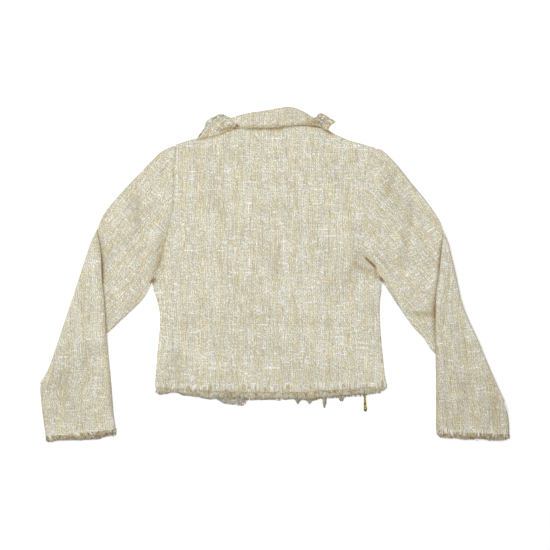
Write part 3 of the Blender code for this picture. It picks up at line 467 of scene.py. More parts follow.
def sleeve_ring(side, sections, stage, share, gap):
    """One ring of a sleeve's outer face (gap 0) or inner face, in a stage of its length.

    stage is 'upper', 'fold' or 'lower', and share runs from 0 to 1 along it."""
    upper, lower, fold, turn = sections
    plan = lower if stage == "lower" else upper
    along = 1.0 if stage == "fold" else share
    ends = plan(np.array([0.0, 1.0]), np.array([along, along]))
    shares, heights = ring_shares(np.linalg.norm(ends[1] - ends[0]), gap)
    place = plan(shares, np.full_like(shares, along))
    top_share = heights / (FOLD_LOFT + CLOTH)
    if stage == "upper":
        extra = (loft_at(place) - FOLD_LOFT) * covered(side, place)
        return np.column_stack([place, heights + smooth_step(top_share, *UPPER_LAYER) * extra])
    if stage == "fold":
        reach = FOLD_LOFT + CLOTH + FOLD_RADIUS - heights
        xy = offset_curve(fold, (-turn * reach * math.sin(math.pi * share))[:, None])(shares)
        return np.column_stack([xy, FOLD_LOFT + CLOTH + FOLD_RADIUS - reach * math.cos(math.pi * share)])
    full = FOLD_LOFT + CLOTH + 2 * FOLD_RADIUS
    base = full * (1 - smooth_step(off_upper_sleeve(side, place), 0, DROP_LENGTH))
    crest = CREST + ripples_at(place) + folds_at(place, FOREARM_FOLDS)
    crest = np.clip(crest, CREST_LEAST, CREST_MOST) * smooth_step(share, 0.0, CREST_FULL)
    z = base + FOLD_LOFT + CLOTH - heights + smooth_step(1 - top_share, *UPPER_LAYER) * crest
    return np.column_stack([place, z])


# ---------------------------------------------------------------- fine cloth

SHIFT = np.array(frame["joints"][0]["pos_m"]) / MM - np.array(PIN_PLACE)
BODY_STEP = 3.2  # between the points of the body's sheets
FRONT_STEP = 7.0
FINE_RIM = (0.0, 0.15, 0.4, 0.8, 1.3, 1.9, 2.6, 3.5, 4.6, 6.0, 8.0)


def fine_shares(length, step, both=True):
    """Shares of a length, close together beside its rim."""
    close = np.array(FINE_RIM) / length
    last = 1 - close[-1] if both else 1.0
    between = np.linspace(close[-1], last, round((last - close[-1]) * length / step) + 1)
    return np.concatenate([close[:-1], between, 1 - close[-2::-1] if both else []])


def in_frame(points):
    """The part's millimetres as metres in the frame."""
    return (np.asarray(points, float) + SHIFT) * MM


# Creases of the upper layer beyond the solids' folds: ridges and the troughs between them
CREASES = (
    # start_x, start_y, end_x, end_y, half_width, height
    (-214, 96, -240, 14, 9, 3.4),  # the left sleeve's fullness, which rises beside its armhole
    (-205, 78, -216, 18, 5, -2.2),
    (-188, 60, -196, -6, 10, 1.6),
    (-253, 142, -252, 84, 8, -2.0),
    (-236, 150, -238, 92, 9, 1.5),
    (-272, 128, -268, 78, 9, 1.3),
    (-262, 40, -300, -30, 12, 1.4),
    (219, 190, 203, 143, 7, -2.2),  # across the right sleeve's head
    (234, 182, 220, 140, 8, 1.6),
    (197, 176, 188, 136, 7, 1.3),
    (253, 128, 241, 34, 7, -2.0),
    (266, 120, 256, 40, 8, 1.5),
    (238, 112, 226, 44, 8, 1.3),
    (186, 60, 206, 6, 10, 4.6),  # fullness above the right underarm
    (165, 34, 181, 19, 4, -3.4),
    (150, 46, 156, 12, 9, -2.2),
    (132, 66, 128, 10, 12, 1.8),
    (180, -18, 172, -60, 12, 2.6),
    (150, -4, 141, -36, 7, -2.2),  # drag line below the right underarm
    (128, -10, 118, -52, 10, 1.3),
    (110, -14, 100, -40, 10, -1.0),
    (238, 14, 206, 22, 8, -1.6),
    (246, -70, 298, -76, 6, -2.2),  # short crease that runs out of the right elbow
    (250, -58, 294, -60, 9, 1.3),
    (256, -90, 300, -94, 7, 1.6),
    (16, -222, 17, -176, 11, -1.5),  # the back over the fronts' edges
    (36, -214, 40, -150, 11, 0.9),
    (-4, -214, -4, -160, 10, 0.8),
    (4, 28, 3, -12, 10, -1.3),
    (24, 40, 25, -20, 12, 0.7),
    (-72, 212, -40, 206, 13, -1.2),
    (104, 206, 148, 204, 12, -1.3),
    (96, 230, 150, 226, 13, 0.9),
    (-124, 142, -112, 118, 11, -1.1),
    (-178, -146, -186, -192, 7, -1.4),
    (-196, -120, -200, -196, 8, 1.0),
    (-162, -150, -168, -196, 8, 1.0),
    (-140, -152, -152, -196, 6, -0.8),
    (98, -146, 92, -170, 12, 1.1),
    (190, -100, 196, -190, 7, -1.0),
)
FOREARM_CREASES = (
    # start_x, start_y, end_x, end_y, half_width, height
    (-396, -190, -378, -238, 18, -1.1),
    (-372, -180, -350, -250, 13, 1.2),
    (-408, -170, -420, -262, 9, 1.0),
    (-352, 10, -356, -92, 12, 1.3),
    (-330, -90, -326, -210, 10, 0.9),
    (-342, -118, -346, -190, 8, -0.9),
    (352, -188, 356, -262, 9, -0.7),
    (336, -150, 336, -270, 8, 1.2),
    (376, -170, 382, -280, 8, 1.4),
    (402, -200, 410, -282, 12, -0.8),
    (420, -222, 424, -284, 6, 1.0),
    (318, -40, 322, -120, 9, 1.0),
    (341, -96, 352, -160, 9, -1.0),
)
LOWEST = 2.35  # underside of an upper layer at the bottom of a trough
SEAM_DEPTHS, SEAM_HALF_WIDTH = (0.7, 0.5), 1.9  # of the left and right armhole's groove
SEAM_SWELL, SEAM_SWELL_AT, SEAM_SWELL_WIDTH = 0.5, 5.0, 3.2  # of the cloth beside it
PUCKER, PUCKER_PITCH, PUCKER_REACH, PUCKER_FROM = 0.35, 9.5, 9.0, 0.5
PUCKER_UNEVEN = (1.7, 0.05)  # how far and how fast their pitch changes
ARMHOLE_STEPS = 140
armholes = [
    curve_through(line)(np.linspace(0, 1, ARMHOLE_STEPS)) for line in (ARMHOLE_LEFT, ARMHOLE_RIGHT)
]


def nearest(place, line):
    """Distance of each place from a line of points, and how far along it the nearest point lies."""
    shape = place.shape[:-1]
    flat = place.reshape(-1, 2)
    run = run_along(line)
    away = np.full(len(flat), np.inf)
    along = np.zeros(len(flat))
    for k in range(len(line) - 1):
        distance, share = from_line(flat, line[k], line[k + 1])
        closer = distance < away
        away[closer] = distance[closer]
        along[closer] = (run[k] + share * (run[k + 1] - run[k]))[closer]
    return away.reshape(shape), along.reshape(shape)


def seams_at(place):
    """The armhole seams: a groove between two soft swells, with small uneven puckers across it."""
    height = np.zeros(place.shape[:-1])
    for line, depth in zip(armholes, SEAM_DEPTHS):
        away, along = nearest(place, line)
        groove = -depth * bell(away, SEAM_HALF_WIDTH)
        swell = SEAM_SWELL * bell(away - SEAM_SWELL_AT, SEAM_SWELL_WIDTH)
        phase = along / PUCKER_PITCH * math.tau + PUCKER_UNEVEN[0] * np.sin(along * PUCKER_UNEVEN[1])
        pucker = PUCKER * np.sin(phase) * np.exp(-away / PUCKER_REACH) * (away > PUCKER_FROM)
        height += groove + swell + pucker
    return height


def detail_at(place):
    return folds_at(place, CREASES) + seams_at(place)


# Painted shade where the cloth lies in hollows: under the collar's fall, at the roots of its ends, at the
# underarms and seams
PAINTED_SHADE_LINES = (
    # start_x, start_y, end_x, end_y, half_width, depth of painted shade
    (-50, 271.0, -26, 270.6, 3.6, 0.30),
    (-28, 270.6, 12, 271.8, 3.6, 0.52),
    (10, 272.0, 30, 275.0, 3.4, 0.30),
    (30, 275.5, 76, 277.0, 3.0, 0.20),
    (-74, 272, -65, 275.5, 3.4, 1.0),
    (-98, 264, -74, 272, 5.0, 0.34),
    (-142, 251, -98, 262, 4.0, 0.40),
    (66, 279, 92, 276, 5.0, 0.85),
    (88, 276, 104, 262, 4.5, 0.70),
    (-190, 117, -205, 60, 4.0, 0.05),
    (-202, 62, -224, -4, 9.0, 0.21),
    (-206, 44, -214, 22, 9.0, 0.07),
    (-240, 20, -262, -60, 30.0, 0.05),
    (-222, -8, -228, -13, 4.0, 0.75),
    (168, 32, 177, 23, 1.7, 0.95),
    (177, 23, 185, 16, 2.0, 0.95),
    (184, 17, 188, 6, 2.6, 0.40),
    (185, 6, 188, -8, 4.0, 0.20),
    (195, -5, 200, -10, 2.8, 1.0),
    (149, 40, 143, 14, 7.0, 0.22),
    (150, 20, 184, 0, 7.5, 0.28),
    (143, 4, 130, -34, 8.0, 0.16),
    (170, 40, 196, 30, 9.0, 0.12),
    (246, -68, 264, -72, 4.5, 0.10),
    (264, -72, 300, -70, 5.5, 0.22),
    (282, -66, 302, -58, 7.0, 0.14),
    (214, 176, 212, 142, 9.0, 0.10),
    (224, 160, 196, 150, 9.0, 0.10),
    (251, 128, 241, 34, 12.0, 0.12),
    (-253, 140, -258, 86, 9.0, 0.12),  # troughs of the upper sleeves
    (-272, -52, -262, -74, 12.0, 0.16),
    (-124, 146, -98, 200, 13.0, 0.10),
    (88, 204, 98, 196, 14.0, 0.10),
    (0, 30, 2, -22, 9.0, 0.10),
    (14, -170, 40, -200, 12.0, 0.10),
    (-180, -134, -186, -172, 8.0, 0.12),
    (-190, -200, -100, -208, 7.0, 0.07),
)
CREASE_SHADE = 0.06  # painted shade for each millimetre of a trough's depth
RIM_SHADE, RIM_LINE = 0.26, 2.2  # painted shade and half width of the line where the cloth turns down at its outline
SEAM_SHADE, SEAM_DOT = 0.34, 1.6  # painted shade and half width of the dots along the left armhole's stitches
STITCH_RATE, STITCH_UNEVEN = 1.9, (2.2, 0.31)  # of them along it, and how far and fast that changes
STITCH_LEAST, STITCH_FADE = 0.3, (40, 95)  # share of them that shows low down, and where it grows to all


def stitched_at(place):
    """Painted shade along the left armhole's seam: a row of small brown dots where its stitches pull the cloth
    in.
    """
    away, along = nearest(place, armholes[0])
    pulled = 0.5 + 0.5 * np.sin(along * STITCH_RATE + STITCH_UNEVEN[0] * np.sin(along * STITCH_UNEVEN[1]))
    shown = STITCH_LEAST + (1 - STITCH_LEAST) * smooth_step(place[..., 1], *STITCH_FADE)
    return SEAM_SHADE * pulled * shown * bell(away, SEAM_DOT)


def painted_shade_at(place):
    """How much painted shade each place gets for lying in a fold, crease or seam, from 0 on open cloth to 1.
    """
    trough = -np.minimum(detail_at(place), 0)
    return np.clip(folds_at(place, PAINTED_SHADE_LINES) + CREASE_SHADE * trough + stitched_at(place), 0, 1)


def rim_at(place, *edges):
    """A thin line of painted shade where the cloth turns down at its outline."""
    away = np.min([np.linalg.norm(place - edge, axis=-1) for edge in edges], axis=0)
    return RIM_SHADE * bell(away, RIM_LINE)


def fine_back_height(place, u, v):
    height = back_height(place, u, v)
    inside = np.clip((height - RIM_FOOT - raised_at(place)) / LOFT, 0, 1) ** 2
    return np.maximum(height + detail_at(place) * inside, np.minimum(height, LOWEST + raised_at(place)))


def moved_out(points, distance, side=1.0):
    """A grid of points moved along its own normals."""
    normal = unit(np.cross(np.gradient(points, axis=0), np.gradient(points, axis=1)))
    return points + side * distance * normal


def mesh_of(name, points, faces, corner_grain=None):
    """A mesh from points in the part's millimetres and faces with the same number of corners each."""
    mesh = bpy.data.meshes.new(name)
    corners = faces.shape[1]
    mesh.vertices.add(len(points))
    mesh.vertices.foreach_set("co", in_frame(points).astype(np.float32).ravel())
    mesh.loops.add(faces.size)
    mesh.loops.foreach_set("vertex_index", faces.astype(np.int32).ravel())
    mesh.polygons.add(len(faces))
    mesh.polygons.foreach_set("loop_start", np.arange(0, faces.size, corners, dtype=np.int32))
    mesh.update(calc_edges=True)
    if corner_grain is not None:
        layer = mesh.uv_layers.new(name="grain")
        layer.uv.foreach_set("vector", (corner_grain * MM).astype(np.float32).ravel())
    mesh.shade_smooth()
    return mesh


SHARP_ANGLE = math.radians(60)  # of the edges of a wall that stay sharp


def wall_mesh(name, inner, outer, grain, column_of=None, painted_shade=None):
    """A wall of cloth between two grids of points.

    grain is each point's place along the weft and the warp, and the last argument, if given, how much painted
    shade each outer point gets. Where column_of names the grid's column of each column of grain, the grid
    closes into a tube, and the grain changes at a column that is named twice in a row."""
    rows, columns = inner.shape[:2]
    index = np.arange(rows * columns).reshape(rows, columns)
    closed = column_of is not None
    if closed:
        index = index[:, column_of]
    wide = np.arange(grain[..., 0].size).reshape(grain.shape[:2])
    kept = np.flatnonzero(index[0, 1:] != index[0, :-1])

    def quads(grid):
        corners = [grid[:-1, kept], grid[:-1, kept + 1], grid[1:, kept + 1], grid[1:, kept]]
        return np.stack(corners, axis=-1).reshape(-1, 4)

    def edge(line, beside):
        strip = np.stack([line[:-1], line[1:], beside[1:], beside[:-1]], axis=-1)
        return strip[kept] if len(line) == grain.shape[1] else strip

    under, over = index, index + rows * columns
    faces = [quads(over), quads(under)[:, ::-1]]
    corners = [quads(wide), quads(wide)[:, ::-1]]
    sides = [(0, slice(None), False), (-1, slice(None), True)]
    if not closed:
        sides += [(slice(None), 0, True), (slice(None), -1, False)]
    for row, column, turned in sides:
        strip = edge(under[row, column], over[row, column])
        looks = edge(wide[row, column], wide[row, column])
        faces.append(strip[:, ::-1] if turned else strip)
        corners.append(looks[:, ::-1] if turned else looks)
    faces, corners = np.concatenate(faces), np.concatenate(corners)
    points = np.concatenate([inner.reshape(-1, 3), outer.reshape(-1, 3)])
    first = points[faces[: (rows - 1) * len(kept)]]
    normal = np.cross(first[:, 2] - first[:, 0], first[:, 3] - first[:, 1])
    outward = (outer - inner).reshape(-1, 3)[index[:-1, kept].ravel()]
    if (normal * outward).sum() < 0:
        faces, corners = faces[:, ::-1], corners[:, ::-1]
    mesh = mesh_of(name, points, faces, grain.reshape(-1, 2)[corners])
    mesh.set_sharp_from_angle(angle=SHARP_ANGLE)
    # the painted shade goes on the outer points, as an attribute that the cloth's material reads
    if painted_shade is not None:
        painted_dark = np.concatenate([np.zeros(painted_shade.size), np.clip(painted_shade, 0, 1).ravel()])
        mesh.attributes.new("painted_shade", "FLOAT", "POINT").data.foreach_set("value", painted_dark.astype(np.float32))
    return mesh


def add_piece(name, mesh, material, nodes=()):
    piece = bpy.data.objects.new(name, mesh)
    bpy.context.scene.collection.objects.link(piece)
    mesh.materials.append(material)
    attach(piece, BODY)
    if nodes:
        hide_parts(*nodes)
    return piece


def cloth_piece(
    node, inner, outer, grain, material, column_of=None, painted_shade=None, kind="cloth"
):
    """A wall of cloth in place of a solid of the part."""
    name = f"{node}_{kind}"
    return add_piece(name, wall_mesh(name, inner, outer, grain, column_of, painted_shade), material, [node])


def make_back(material):
    u = fine_shares(BACK_WIDTH, BODY_STEP)
    v = fine_shares(BACK_LENGTH, BODY_STEP, both=False)
    inner = grid_of(back_plan, fine_back_height, u, v)
    outer = moved_out(inner, CLOTH)
    painted_dark = painted_shade_at(outer[..., :2]) + rim_at(outer[..., :2], outer[:1, :, :2], outer[-1:, :, :2])
    return cloth_piece("back", inner, outer, inner[..., :2], material, painted_shade=painted_dark), outer


def front_edges():
    """Each front panel's top, hem, left and right edge."""
    zip_line = curve_through(ZIP_LINE)
    side_left = offset_curve(curve_through(SIDE_LEFT), FRONT_INSET)
    side_right = offset_curve(curve_through(SIDE_RIGHT), -FRONT_INSET)
    shoulder_left, shoulder_right = curve_through(SHOULDER_LEFT), curve_through(SHOULDER_RIGHT)
    return {
        "front_left": (
            shoulder_left,
            HEM_FRONT_LEFT,
            joined(curve_through(ARMHOLE_LEFT), side_left, UNDERARM),
            curve_through(FRONT_EDGE_LEFT),
        ),
        "front_right_overlap": (
            lambda share: shoulder_right(share * ZIP_TOP),
            HEM_OVERLAP,
            curve_through(FRONT_EDGE_RIGHT),
            offset_curve(zip_line, -ZIP_SLOT),
        ),
        "front_right": (
            lambda share: shoulder_right(ZIP_TOP + (1 - ZIP_TOP) * share),
            HEM_FRONT_RIGHT,
            offset_curve(zip_line, ZIP_SLOT),
            joined(curve_through(ARMHOLE_RIGHT), side_right, UNDERARM),
        ),
    }


FRONT_WIDTHS = {"front_left": 180.0, "front_right_overlap": 120.0, "front_right": 60.0}
FIRST_ROW = (FOLD_LOFT + CLOTH) / 2 / ARMHOLE_LENGTH * UNDERARM
# Where each piece's cut lies in the endless weave, so that no two are alike
FRONT_GRAIN, COLLAR_GRAIN, END_GRAIN = 500.0, 1000.0, 1500.0
SLEEVE_GRAIN, UNDER_GRAIN = {"left": 2000.0, "right": 3600.0}, 500.0
END_SLANT = np.array([[0.77, 0.64], [-0.64, 0.77]])  # the grain of the collar ends lies aslant


def make_fronts(material, wrong_side):
    made, hems = [], {}
    rows = np.linspace(FIRST_ROW, 1, round(BACK_LENGTH / FRONT_STEP))
    for name, (top, hem, left, right) in front_edges().items():
        bottom = pinned(curve_through(hem), left(1.0), right(1.0))
        top = pinned(top, left(0.0), right(0.0))
        columns = np.linspace(0, 1, round(FRONT_WIDTHS[name] / FRONT_STEP))
        inner = grid_of(patch(top, bottom, left, right), lambda at, u, v: raised_at(at), columns, rows)
        outer = inner + np.array([0, 0, CLOTH])
        grain = inner[..., :2] + np.array([FRONT_GRAIN, 0.0])
        piece = cloth_piece(name, inner, outer, grain, material)
        piece.data.materials.append(wrong_side)
        for face in piece.data.polygons:
            face.material_index = int(face.normal.z > 0.5)
        made.append(piece)
        hems[name] = bottom
    return made, hems


COLLAR_STEPS, COLLAR_ACROSS = 72, 56
FALL_REST = 0.35  # the fall's edge above the back
FALL_THIN, FALL_THIN_FROM = 0.45, 0.93  # part of its cloth that frays away, and where that begins
NEAR_SEAM, NEAR_ROLL = 0.35, 0.72  # shares of the way from the neck seam to the roll
COLLAR_SHADE = 0.06  # painted shade of all of the collar


def collar_sections():
    """The collar's inner face, one section for each station from left to right."""
    table = np.array(COLLAR, float)
    seam, roll, fall = (curve_through(table[:, k : k + 2]) for k in (0, 2, 4))
    rows = []
    for share in np.linspace(0, 1, COLLAR_STEPS):
        s, r, f = seam(share), roll(share), fall(share)
        out = (r - s) / np.linalg.norm(r - s)
        s = s + out * (SEAM_GAP + 0.1)
        high = float(loft_at(s) + raised_at(s)) + CLOTH
        low = CLOTH + SEAM_GAP / 2 + float(raised_at(r))
        over_back = float(loft_at(f) + raised_at(f)) + CLOTH + FALL_CLEAR
        above = max(over_back, high + 0.5)
        section = [
            (*s, high),
            (*(s + NEAR_SEAM * (r - s)), 0.55 * high + 0.45 * low),
            (*(s + NEAR_ROLL * (r - s)), low + 0.1),
            (*(r - out * (ROLL_RADIUS + 2)), low),
            (*(r - out * 2), low + 0.25 * ROLL_RADIUS),
            (*(r - out * 1.6), low + ROLL_RADIUS),
            (*(r - out * 2), low + 1.75 * ROLL_RADIUS),
            (*(r - out * (ROLL_RADIUS + 2)), low + 2 * ROLL_RADIUS),
            (*(s + NEAR_ROLL * (r - s)), low + 2 * ROLL_RADIUS + 0.5),
            (
                *(s + NEAR_SEAM * (r - s)),
                max(0.4 * over_back + 0.6 * (low + 3.0), 0.55 * high + 0.45 * low + 0.6),
            ),
            (*s, above),
            (*(s + 0.5 * (f - s)), above),
            (*f, over_back - FALL_CLEAR + FALL_REST),
        ]
        rows.append(curve_through(section)(np.linspace(0, 1, COLLAR_ACROSS)))
    return np.array(rows)


# Painted shade in the hollows of the collar's upper side: the hole and fold at its left, its lower edge and
# its right root
COLLAR_PAINTED_SHADE = (
    # start_x, start_y, end_x, end_y, half_width, depth of painted shade
    (-74, 274, -67, 275, 3.2, 1.0),
    (-84, 272, -70, 275, 4.5, 0.34),
    (-98, 269, -78, 275, 6.0, 0.20),
    (-60, 271, -20, 271, 4.0, 0.14),
    (-20, 271, 30, 274, 4.0, 0.18),
    (30, 276, 90, 281, 5.0, 0.24),
    (64, 284, 94, 284, 6.0, 0.35),
    (-118, 262, -112, 270, 6.0, 0.14),
    (-100, 282, -92, 300, 5.0, 0.16),
)


def make_collar(material):
    inner = collar_sections()
    thin = FALL_THIN * smooth_step(np.linspace(0, 1, COLLAR_ACROSS), FALL_THIN_FROM, 1.0)
    outer = inner + (moved_out(inner, CLOTH, side=-1.0) - inner) * (1 - thin)[:, None]
    along = np.cumsum(np.linalg.norm(np.diff(inner, axis=1, prepend=inner[:, :1]), axis=2), axis=1)
    grain = np.dstack([inner[..., 0] + COLLAR_GRAIN, along])
    roll = curve_through(np.array(COLLAR, float)[:, 2:4])(np.linspace(0, 1, COLLAR_STEPS))
    painted_dark = COLLAR_SHADE + folds_at(outer[..., :2], COLLAR_PAINTED_SHADE) + rim_at(outer[..., :2], roll[:, None])
    return cloth_piece("collar", inner, outer, grain, material, painted_shade=painted_dark)


# Painted shade at the roots and edges of the collar ends
END_PAINTED_SHADE = (
    # start_x, start_y, end_x, end_y, half_width, depth of painted shade
    (66, 285, 80, 282, 4.0, 0.40),
    (84, 281, 101, 268, 3.4, 0.26),
    (-82, 268, -68, 276, 4.5, 0.45),
    (-110, 268, -84, 268, 8.0, 0.14),
    (-104, 292, -94, 276, 4.5, 0.20),
)
END_THINNER = 0.2  # than the rest of the cloth
END_ACROSS, END_ALONG = 34, 24  # points of its grid


def make_collar_ends(material):
    made = []
    for name, lines in (
        ("collar_end_left", (END_LEFT_TIP, END_LEFT_ROOT, *END_LEFT_SIDES)),
        ("collar_end_right", (END_RIGHT_TIP, END_RIGHT_ROOT, *END_RIGHT_SIDES)),
    ):
        plan = patch(*(curve_through(line) for line in lines))
        inner = grid_of(plan, collar_end_height, np.linspace(0, 1, END_ACROSS), np.linspace(0, 1, END_ALONG))
        outer = moved_out(inner, CLOTH - END_THINNER)
        grain, painted_dark = inner[..., :2] @ END_SLANT + END_GRAIN, folds_at(outer[..., :2], END_PAINTED_SHADE)
        made.append(cloth_piece(name, inner, outer, grain, material, painted_shade=painted_dark))
    return made


UPPER_LENGTH, UPPER_STEP = 215.0, 2.4  # of an upper sleeve and between its rings
FOLD_RINGS, LOWER_RINGS = 14, 99
SLEEVE_STAGES = (
    ("upper", fine_shares(UPPER_LENGTH, UPPER_STEP, both=False)),
    ("fold", np.linspace(0, 1, FOLD_RINGS + 1)[1:]),
    ("lower", np.linspace(0, 1, LOWER_RINGS + 1)[1:]),
)
EDGE_SWELL, EDGE_SWELL_AT, EDGE_SWELL_WIDTH = 2.6, 9.0, 9.0  # of a forearm along its inner edge
SWELL_STARTS, SWELL_ENDS, SWELL_LOST = 0.12, 0.75, 0.6  # shares of its length, and what the cuff loses
ELBOW_ROUND = (-6, 34.0)  # stretch of the fold over which it gains its full roundness
EDGE_PAINTED_SHADE = {  # painted shade beside the forearm at each height: y, depth close to it and further off
    "left": (
        (-150, 0.05, 0.0), (-104, 0.22, 0.02), (-78, 0.24, 0.05), (-66, 0.02, 0.03), (-24, 0.04, 0.05),
        (-12, 0.50, 0.15), (4, 0.70, 0.18), (26, 0.74, 0.20), (38, 0.46, 0.26), (66, 0.38, 0.28),
        (78, 0.28, 0.15), (104, 0.05, 0.0),
    ),
    "right": (
        (-150, 0.12, 0.0), (-120, 0.24, 0.0), (-96, 0.34, 0.10), (-66, 0.44, 0.12), (-52, 0.50, 0.13),
        (-20, 0.24, 0.05), (6, 0.32, 0.04), (18, 0.66, 0.12), (56, 0.66, 0.12), (70, 0.34, 0.08),
        (95, 0.0, 0.0),
    ),
}
EDGE_CLOSE, EDGE_FAR = 4.4, 13.0  # reach of both
EDGE_LINE, EDGE_LINE_AT, EDGE_LINE_WIDTH = 0.12, 2.0, 4.0  # painted shade of the forearm's own edge
EDGE_LINE_TO, FREE_EDGE_FROM = 6, (3, 8)  # where that ends, and where the free edge's begins
UPPER_SHADE = 0.03  # painted shade of all of an upper sleeve
FOREARM_SHADE = {  # how much darker the forearm is painted at each height, as painted shade: y, amount
    "left": ((-290, 0.04), (-235, 0.07), (-150, 0.05), (0, 0.01)),
    "right": ((-290, 0.13), (-200, 0.13), (-130, 0.06), (0, 0.03)),
}
CREVICE_RISE = {  # how far the upper sleeve rises beside the forearm at each height: y, height
    "left": (
        (-120, 0.0), (-84, 2.6), (-66, 4.4), (-20, 4.4), (-8, 2.2), (34, 2.2), (46, 3.6), (66, 3.6),
        (96, 0.0),
    ),
    "right": (
        (-120, 0.0), (-84, 2.4), (-32, 2.4), (-24, 4.2), (2, 4.2), (14, 2.2), (56, 2.2), (66, 3.4),
        (96, 0.0),
    ),
}
CREVICE_AT, CREVICE_WIDTH = 7.0, 8.0
CLEAR_FROM, CLEAR_TO = -0.5, 3.5  # past the forearm's edge, where the upper sleeve's own creases begin
FOREARM_CLEAR = 6  # within the same edge, where the forearm has its own
RISE_STARTS = 6.0  # from the armhole
FREE_INSET = {  # how far the forearm's free edge lies within the solid's at each height: y, distance
    "left": ((-300, 1.9), (-225, 2.4), (-214, 1.5), (-206, -1.2), (-201, 0.0)),
    "right": ((-296, 1.9), (-262, 1.7), (-246, 0.6), (-236, 0.0)),
}
FREE_REACH = 26.0  # how far in from the edge that fades out


def sleeve_axes(sections):
    """The upper sleeve's grain, across and along, and its fold's start and line.

    It is the straight downward grain of the forearm, turned back over the fold."""
    fold = sections[2]
    start, end = fold(0.0), fold(1.0)
    line = unit(end - start)
    down = np.array([0.0, -1.0])
    along = 2 * (down @ line) * line - down
    return left_of(along), along, start, line


def sleeve_grain(sections, ring, stage, share):
    """Each point's place in the flat sleeve: a forearm's is turned back over the fold first."""
    across, along, start, line = sleeve_axes(sections)
    turn = sections[3]
    out = -turn * left_of(line)
    plan = ring[:, :2]
    upper_layer = np.arange(len(ring)) >= SLEEVE_ACROSS
    reach = FOLD_RADIUS + np.where(upper_layer, 0.0, FOLD_LOFT + CLOTH)
    down, beyond = (plan - start) @ line, (plan - start) @ out
    crease = sections[2](np.linspace(0, 1, 40)) - start
    bow = np.interp(down, crease @ line, crease @ out)
    if stage == "fold":
        beyond = bow + reach * math.pi * share
    if stage == "lower":
        beyond = 2 * bow - beyond + reach * math.pi
    flat = start + np.outer(down, line) + np.outer(beyond, out)
    return np.column_stack([(flat - start) @ across, (flat - start) @ along])


def fine_ring(side, sections, stage, share, gap):
    """A ring of the sleeve with its creases, and its folded edges swollen by the cloth inside them."""
    ring = sleeve_ring(side, sections, stage, share, gap)
    place = ring[:, :2]
    if stage == "fold":
        crease = sleeve_ring(side, sections, stage, 0.0, gap)[:, :2]
        run = np.linalg.norm(crease - sections[2](0.0), axis=1)
        ring[:, :2] = crease + (place - crease) * smooth_step(run, *ELBOW_ROUND)[:, None]
        return ring
    if stage == "lower":
        turn = TURN[side]
        off_edge = place[:, 0] * turn - (place[:, 0] * turn).min()
        inset = along_table(place[:, 1], FREE_INSET[side]) * (1 - smooth_step(off_edge, 0, FREE_REACH))
        place[:, 0] += turn * inset
    inward = inward_of(side, place)
    if stage == "upper":
        top = np.arange(len(ring)) >= SLEEVE_ACROSS + 2
        beside = bell(inward - CREVICE_AT, CREVICE_WIDTH)
        rise = along_table(place[:, 1], CREVICE_RISE[side]) * beside
        bulk = smooth_step(np.minimum(share * UPPER_LENGTH, RISE_STARTS) / RISE_STARTS)
        lifted = ring[:, 2] + smooth_step(inward, CLEAR_FROM, CLEAR_TO) * (detail_at(place) + rise * bulk)
        lifted = np.maximum(lifted, np.minimum(ring[:, 2], LOWEST + CLOTH - gap))
    else:
        top = np.arange(len(ring)) < SLEEVE_ACROSS
        swell = EDGE_SWELL * bell(-inward - EDGE_SWELL_AT, EDGE_SWELL_WIDTH)
        away = smooth_step(share, 0.0, SWELL_STARTS) * (1 - smooth_step(share, SWELL_ENDS, 1.0) * SWELL_LOST)
        detail = (swell + folds_at(place, FOREARM_CREASES)) * away
        lifted = ring[:, 2] + detail * smooth_step(-inward, CLEAR_FROM, FOREARM_CLEAR)
    ring[:, 2] = np.where(top, lifted, ring[:, 2])
    return ring


def sleeve_painted_shade(side, ring, stage):
    """Painted shade of each point of a ring, beside or under the forearm and in creases."""
    if stage == "fold":
        return np.zeros(len(ring))
    place = ring[:, :2]
    inward = inward_of(side, place)
    rim = rim_at(place, place[SLEEVE_ACROSS + 1], place[-2])
    if stage == "lower":
        off_line = np.minimum(inward + EDGE_LINE_AT, 0)
        line = EDGE_LINE * bell(off_line, EDGE_LINE_WIDTH) * (inward < EDGE_LINE_TO)
        free_edge = rim * smooth_step(-inward, *FREE_EDGE_FROM)
        shaded = line + along_table(place[:, 1], FOREARM_SHADE[side]) + free_edge
        return shaded + 2 * CREASE_SHADE * -np.minimum(folds_at(place, FOREARM_CREASES), 0)
    beside = UPPER_SHADE
    for column, reach in ((1, EDGE_CLOSE), (2, EDGE_FAR)):
        shade = along_table(place[:, 1], EDGE_PAINTED_SHADE[side], column)
        beside = beside + shade * bell(np.maximum(inward, 0), reach)
    return beside + painted_shade_at(place) + rim


def make_sleeve(side, material):
    sections = sleeve_sections(side)
    outer, inner, grain, stage_of, painted_dark = [], [], [], [], []
    for stage, shares in SLEEVE_STAGES:
        for share in shares:
            outer.append(fine_ring(side, sections, stage, share, 0.0))
            inner.append(fine_ring(side, sections, stage, share, CLOTH))
            grain.append(sleeve_grain(sections, outer[-1], stage, share))
            painted_dark.append(sleeve_painted_shade(side, outer[-1], stage))
            stage_of.append(stage)
    outer, inner, grain = np.array(outer), np.array(inner), np.array(grain)
    # the lower layer's columns, then the upper one's, with a seam along the middle of both round ends
    around, half = len(outer[0]), SLEEVE_ACROSS + 1
    lower, upper = np.arange(half + 1), np.arange(half, around - 1)
    column_of = np.concatenate([lower, upper, [around - 2, around - 1, 0]])
    grain = grain[:, column_of] + np.array([SLEEVE_GRAIN[side], 0.0])
    second = slice(half + 1, half + 1 + len(upper))
    grain[:, second] = grain[:, second] * [-1, 1] + np.array([2 * SLEEVE_GRAIN[side] + UNDER_GRAIN, 0.0])
    piece = cloth_piece(f"sleeve_{side}", inner, outer, grain, material, column_of, np.array(painted_dark))
    return piece, outer, np.array(stage_of), sections


# ---------------------------------------------------------------- materials


def math_node(operation, swapped=False):
    """A method that makes a Math node of a value and another value or number."""
    return lambda self, other: self.shader.math(operation, *((other, self) if swapped else (self, other)))


